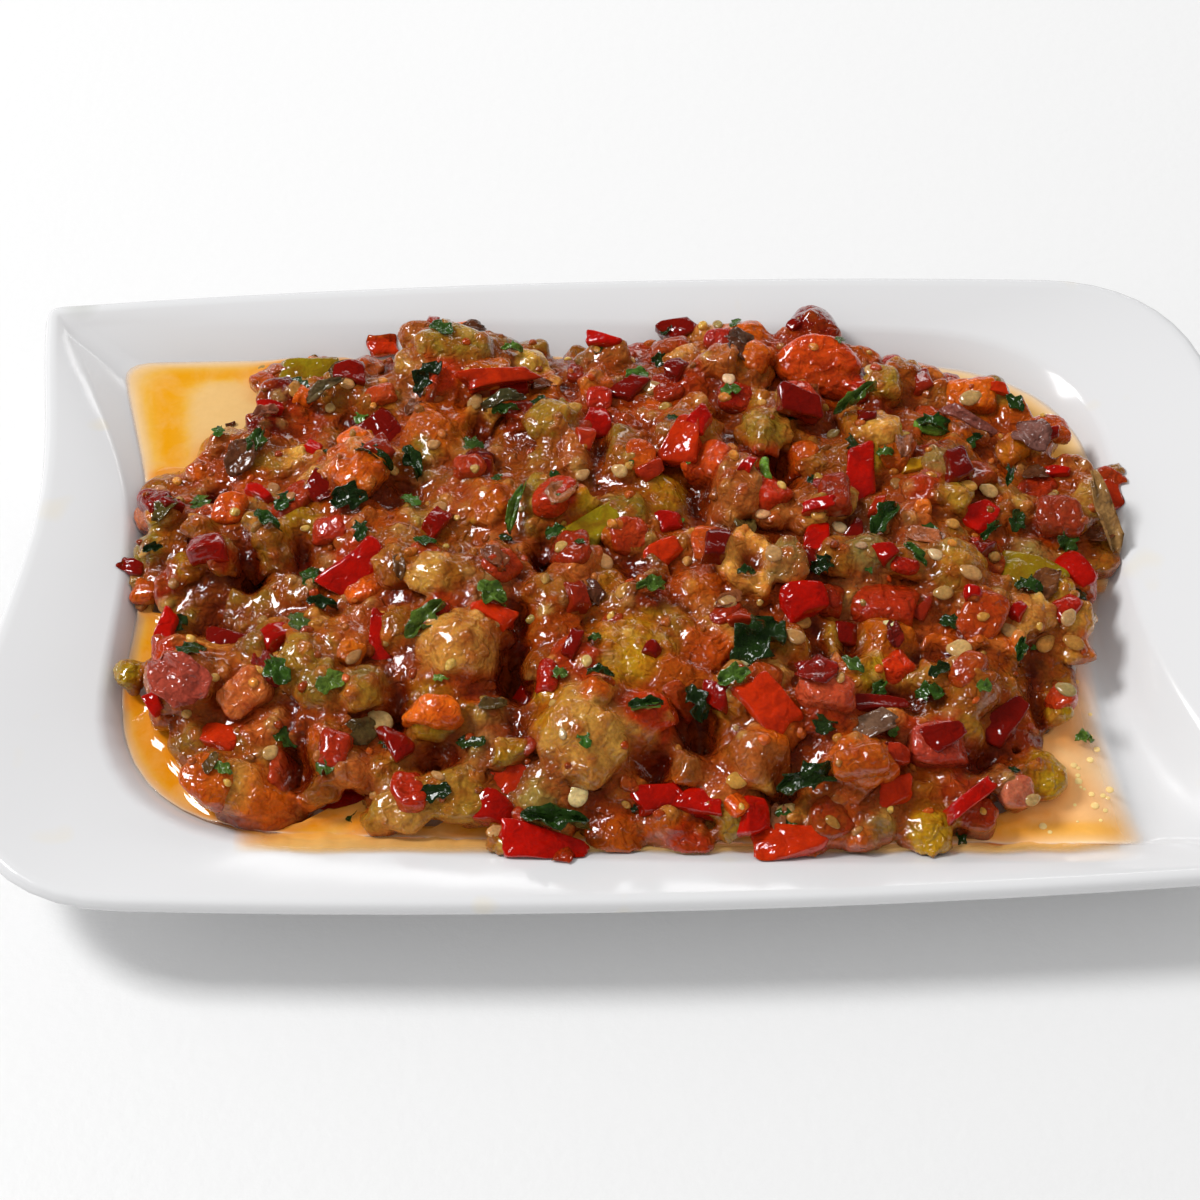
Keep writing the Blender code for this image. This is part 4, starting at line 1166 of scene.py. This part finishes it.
def oil_colour(places, to_heap):
    """Colour and cover of the oil at each point, from the depth under it."""
    x, y = places[:, 0], places[:, 1]
    depth = np.maximum(OIL_LEVEL - floor_under(places), 0.0) / MM
    right = np.clip((x / MM + 10.0) / 80.0, 0.0, 1.0)
    front = np.clip(-y / (20.0 * MM), 0.0, 1.0)
    front_left = front * np.clip((-x / MM - 40.0) / 20.0, 0.0, 1.0)
    depth = depth * (1.0 - (1.0 - THIN_RIGHT) * right) * (1.0 + DEEP_LEFT * front_left)
    stops = np.array([s for s, _ in OIL_STOPS])
    shades = np.array([linear(c)[:3] for _, c in OIL_STOPS])
    colour = np.stack([np.interp(depth, stops, shades[:, k]) for k in range(3)], axis=1)
    halo = (HALO + HALO_FRONT * front) * MM
    near = (NEAR_SHARE * np.exp(-to_heap / halo) * np.clip(depth, 0, 1))[:, None]
    colour = colour * (1 - near) + NEAR_HEAP * near
    colour = np.minimum(colour * (1.0 + SHADE_LIFT * (right * front)[:, None]), 1.0)
    dry_x = np.interp(-y / MM, [-b for _, b in DRY_EDGE], [a for a, _ in DRY_EDGE])
    to_dry = np.clip((dry_x - 0.4 - x / MM) / DRY_FADE, 0.0, 1.0)
    fade = np.where((x > 0.06) & (y < -0.004), to_dry, 1.0)
    cover = np.clip(np.minimum(depth / FULL_COLOUR, fade), 0.0, 1.0)
    return np.concatenate([colour, cover[:, None]], axis=1)


def make_oil():
    """A ring of oil, level but for the small rise at the wall and at the heap."""
    top, tint = [], []
    for share in np.linspace(0.0, 1.0, OIL_RINGS) ** 0.9:
        reach = inner + (outer - inner) * share
        to_heap = np.maximum(reach - edge_of_heap, 0.0)
        z = (OIL_LEVEL + WALL_RISE * np.exp(-(outer - reach) / WALL_REACH)
             + MENISCUS * np.exp(-to_heap / MENISCUS_REACH))
        top.append(np.stack([reach * np.cos(angles), reach * np.sin(angles), z], axis=1))
        tint.append(oil_colour(top[-1], to_heap))
    top, tint = np.concatenate(top), np.concatenate(tint)
    low = top.copy()
    low[:, 2] = np.minimum(np.maximum(floor_under(top) + CLEAR, base_z), top[:, 2] - LEAST_THICK)
    n, half = OIL_COLUMNS, OIL_RINGS * OIL_COLUMNS
    faces = []
    for ring in range(OIL_RINGS - 1):
        for k in range(n):
            a, b = ring * n + k, ring * n + (k + 1) % n
            faces.append((a, a + n, b + n, b))
            faces.append((half + a, half + b, half + b + n, half + a + n))
    for k in range(n):
        b = (k + 1) % n
        faces.append((k, b, half + b, half + k))
        last = (OIL_RINGS - 1) * n
        faces.append((last + k, half + last + k, half + last + b, last + b))
    return new_piece("oil_pool", np.vstack([top, low]).tolist(), faces, np.vstack([tint, tint]), OIL)


OIL, tree, shader = new_finish("clear_oil")
tint = node(tree, "Attribute", attribute_name="tint")
cloudy = node(tree, "Group", {
    "Colour": tint.outputs["Color"], "Patch Colour": linear((236, 200, 140)), "Patch Scale": 120.0,
    "Patch Share": 0.25, "Speck Scale": 900.0, "Speck Share": 0.04}, node_tree=UNEVEN_COLOUR)
ripple = node(tree, "TexNoise", {"Vector": node(tree, "TexCoord").outputs["Object"],
                                 "Scale": 60.0, "Detail": 2.0})
bump = node(tree, "Bump", {"Height": ripple.outputs["Fac"], "Distance": 0.15 * MM})
fill_in(shader, {"Base Color": cloudy.outputs["Colour"], "Alpha": tint.outputs["Alpha"],
                 "Normal": bump.outputs["Normal"], "Emission Color": cloudy.outputs["Colour"],
                 "Emission Strength": OIL_GLOW, "Roughness": 0.05, "IOR": 1.47})
OIL.cycles.emission_sampling = "NONE"

oil = make_oil()
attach(oil, "root")
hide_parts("oil")
print("oil:", len(oil.data.polygons), "faces")

# %% [markdown]
# Along the front, a thin film of oil clings to the bend of the porcelain right under the heap. It is
# a strip laid on the dish: rays through the photo's pixels meet the porcelain, and the strip floats
# a hair above those places and fades out towards the table.

# %% Film along the front
FILM_LEFT, FILM_RIGHT, FILM_STEP, FILM_TOP, FILM_FRONT = 232, 1124, 4, 828, 855
FILM_ROWS, FILM_LIFT, FILM_THICK, FILM_SWELL = 9, 0.30 * MM, 0.12 * MM, 1.1 * MM
FILM_END = 60.0               # pixels over which it fades at either end
AMBER, PALE = linear((244, 150, 10)), linear((250, 206, 124))


def along_noise(u, size, offset):
    """Smooth noise along the front, for a pixel column."""
    return noise.noise(Vector((u / size, offset, 0.0)))


def make_film():
    """A strip on the porcelain, swollen under the heap and thin at its front edge."""
    points, tints = [], []
    columns = range(FILM_LEFT, FILM_RIGHT, FILM_STEP)
    for u in columns:
        front = FILM_FRONT + 4.0 * along_noise(u, 60.0, 0.0)
        ends = min(1.0, (u - FILM_LEFT) / FILM_END, (FILM_RIGHT - u) / FILM_END)
        wave = 0.5 + 0.5 * along_noise(u, 26.0, 3.0) + 0.3 * along_noise(u, 11.0, 9.0)
        for row in range(FILM_ROWS):
            share = row / (FILM_ROWS - 1)
            v = FILM_TOP + (front - FILM_TOP) * share
            hit, normal, _, _ = dish_tree.ray_cast(CAMERA_PLACE, photo_ray(u, v))
            profile = math.sqrt(1.0 - share ** 2) * min(1.0, 0.4 + 2.0 * share)
            swell = FILM_SWELL * max(0.0, wave) * profile * ends
            points.append(hit + normal * (FILM_LIFT + swell))
            tint = [a * (1 - share) + b * share for a, b in zip(AMBER, PALE)]
            tint[3] = ends * min(0.96, 2.6 * (1.0 - share))
            tints.append(tint)
    starts = [k * FILM_ROWS + row for k in range(len(columns) - 1) for row in range(FILM_ROWS - 1)]
    faces = [(a, a + 1, a + FILM_ROWS + 1, a + FILM_ROWS) for a in starts]
    film = new_piece("oil_front_film", points, faces, tints, OIL)
    apply_modifier(film, "SOLIDIFY", thickness=FILM_THICK, offset=0.0)
    in_edit_mode(film, (bpy.ops.mesh.normals_make_consistent, {"inside": False}))
    return film


film = make_film()
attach(film, "root")
print("front film:", len(film.data.polygons), "faces")

# %% [markdown]
# Round droplets of oil lie on the film at the front right. They are flat domes: a ball squeezed to
# a third of its height, copied small and uneven.

# %% Droplets
DROPLET = as_shape(start_with(bpy.ops.mesh.primitive_uv_sphere_add, segments=12, ring_count=6,
                              radius=0.5))
DROP_COUNT, DROP_SINK, DROP_YELLOW = 70, 0.35, (248, 214, 140)
DROP_ACROSS, DROP_ALONG = (66.0, 81.0), (-57.0, -24.0)      # the area, in mm
drop_copies = []
for _ in range(DROP_COUNT):
    x, y = (rng.uniform(*DROP_ACROSS) * MM, rng.uniform(*DROP_ALONG) * MM)
    ground = drop(mass_tree, x, y)
    if ground is None or ground > OIL_LEVEL + 0.5 * MM:
        continue
    wide = rng.uniform(0.5, 1.5) * MM
    drop_copies.append(copy_of(DROPLET, Vector((x, y, OIL_LEVEL)), Matrix.Identity(3),
                               (wide, wide, 0.35 * wide), vary(DROP_YELLOW, 0.05), DROP_SINK))
join_copies("oil_droplets", drop_copies, OIL, "oil")

# %% [markdown]
# ## The porcelain and the table
# The dish is white glazed porcelain: nearly white, a little cool, mirror smooth, with a very slight
# waviness that bends its reflections. The photo shows a faint grey-green smudge on the back-left
# rim and a few faint yellowish specks on the right flange, and they stay.

# %% Glaze
WHITE_LOW, WHITE_HIGH = (0.775, 0.775, 0.785, 1), (0.80, 0.80, 0.805, 1)
SMUDGE_PLACE, SMUDGE_FULL, SMUDGE_REACH = (-0.1045, 0.0705, 0.020), 1.2 * MM, 4.5 * MM
SMUDGE, SPECK = linear((150, 152, 130)), linear((236, 224, 196))
SHARP_ANGLE = math.radians(38)

GLAZE, tree, shader = new_finish("white_glaze")
place = node(tree, "TexCoord").outputs["Object"]
cloud = node(tree, "TexNoise", {"Vector": place, "Scale": 25.0, "Detail": 2.0}).outputs["Fac"]
away = node(tree, "VectorMath", {0: place, 1: SMUDGE_PLACE}, operation="DISTANCE").outputs["Value"]
specks = node(tree, "TexNoise", {"Vector": place, "Scale": 90.0, "Detail": 1.0}).outputs["Fac"]
white = blend(tree, cloud, WHITE_LOW, WHITE_HIGH)
smudged = blend(tree, remap(tree, away, SMUDGE_FULL, SMUDGE_REACH, 0.30, 0.0), white, SMUDGE)
speckled = blend(tree, remap(tree, specks, 0.70, 0.78, 0.0, 0.35), smudged, SPECK)
waves = node(tree, "Bump", {"Height": cloud, "Distance": 0.12 * MM})
fill_in(shader, {"Base Color": speckled, "Normal": waves.outputs["Normal"],
                 "Roughness": remap(tree, cloud, 0.0, 1.0, 0.10, 0.18)})

porcelain = bpy.data.objects.new("dish_porcelain", CAD["dish"].data.copy())
scene.collection.objects.link(porcelain)
in_edit_mode(porcelain, (bpy.ops.mesh.remove_doubles, {"threshold": SAME_POINT}))
bpy.ops.object.shade_smooth_by_angle(angle=SHARP_ANGLE)
porcelain.data.materials.clear()
porcelain.data.materials.append(GLAZE)
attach(porcelain, "root")
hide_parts("dish")
print("dish glazed,", len(porcelain.data.vertices), "points")

# %% Table
table = start_with(bpy.ops.mesh.primitive_plane_add, size=3.0)
table.name = "table"
TABLE, tree, shader = new_finish("white_table")
place = node(tree, "TexCoord").outputs["Object"]
weave = node(tree, "TexNoise", {"Vector": place, "Scale": 380.0, "Detail": 3.0, "Roughness": 0.6})
bump = node(tree, "Bump", {"Height": weave.outputs["Fac"], "Distance": 0.25 * MM, "Strength": 0.35})
fill_in(shader, {"Normal": bump.outputs["Normal"], "Base Color": (0.90, 0.90, 0.90, 1.0),
                 "Roughness": 0.45})
table.data.materials.append(TABLE)
print("table ready")
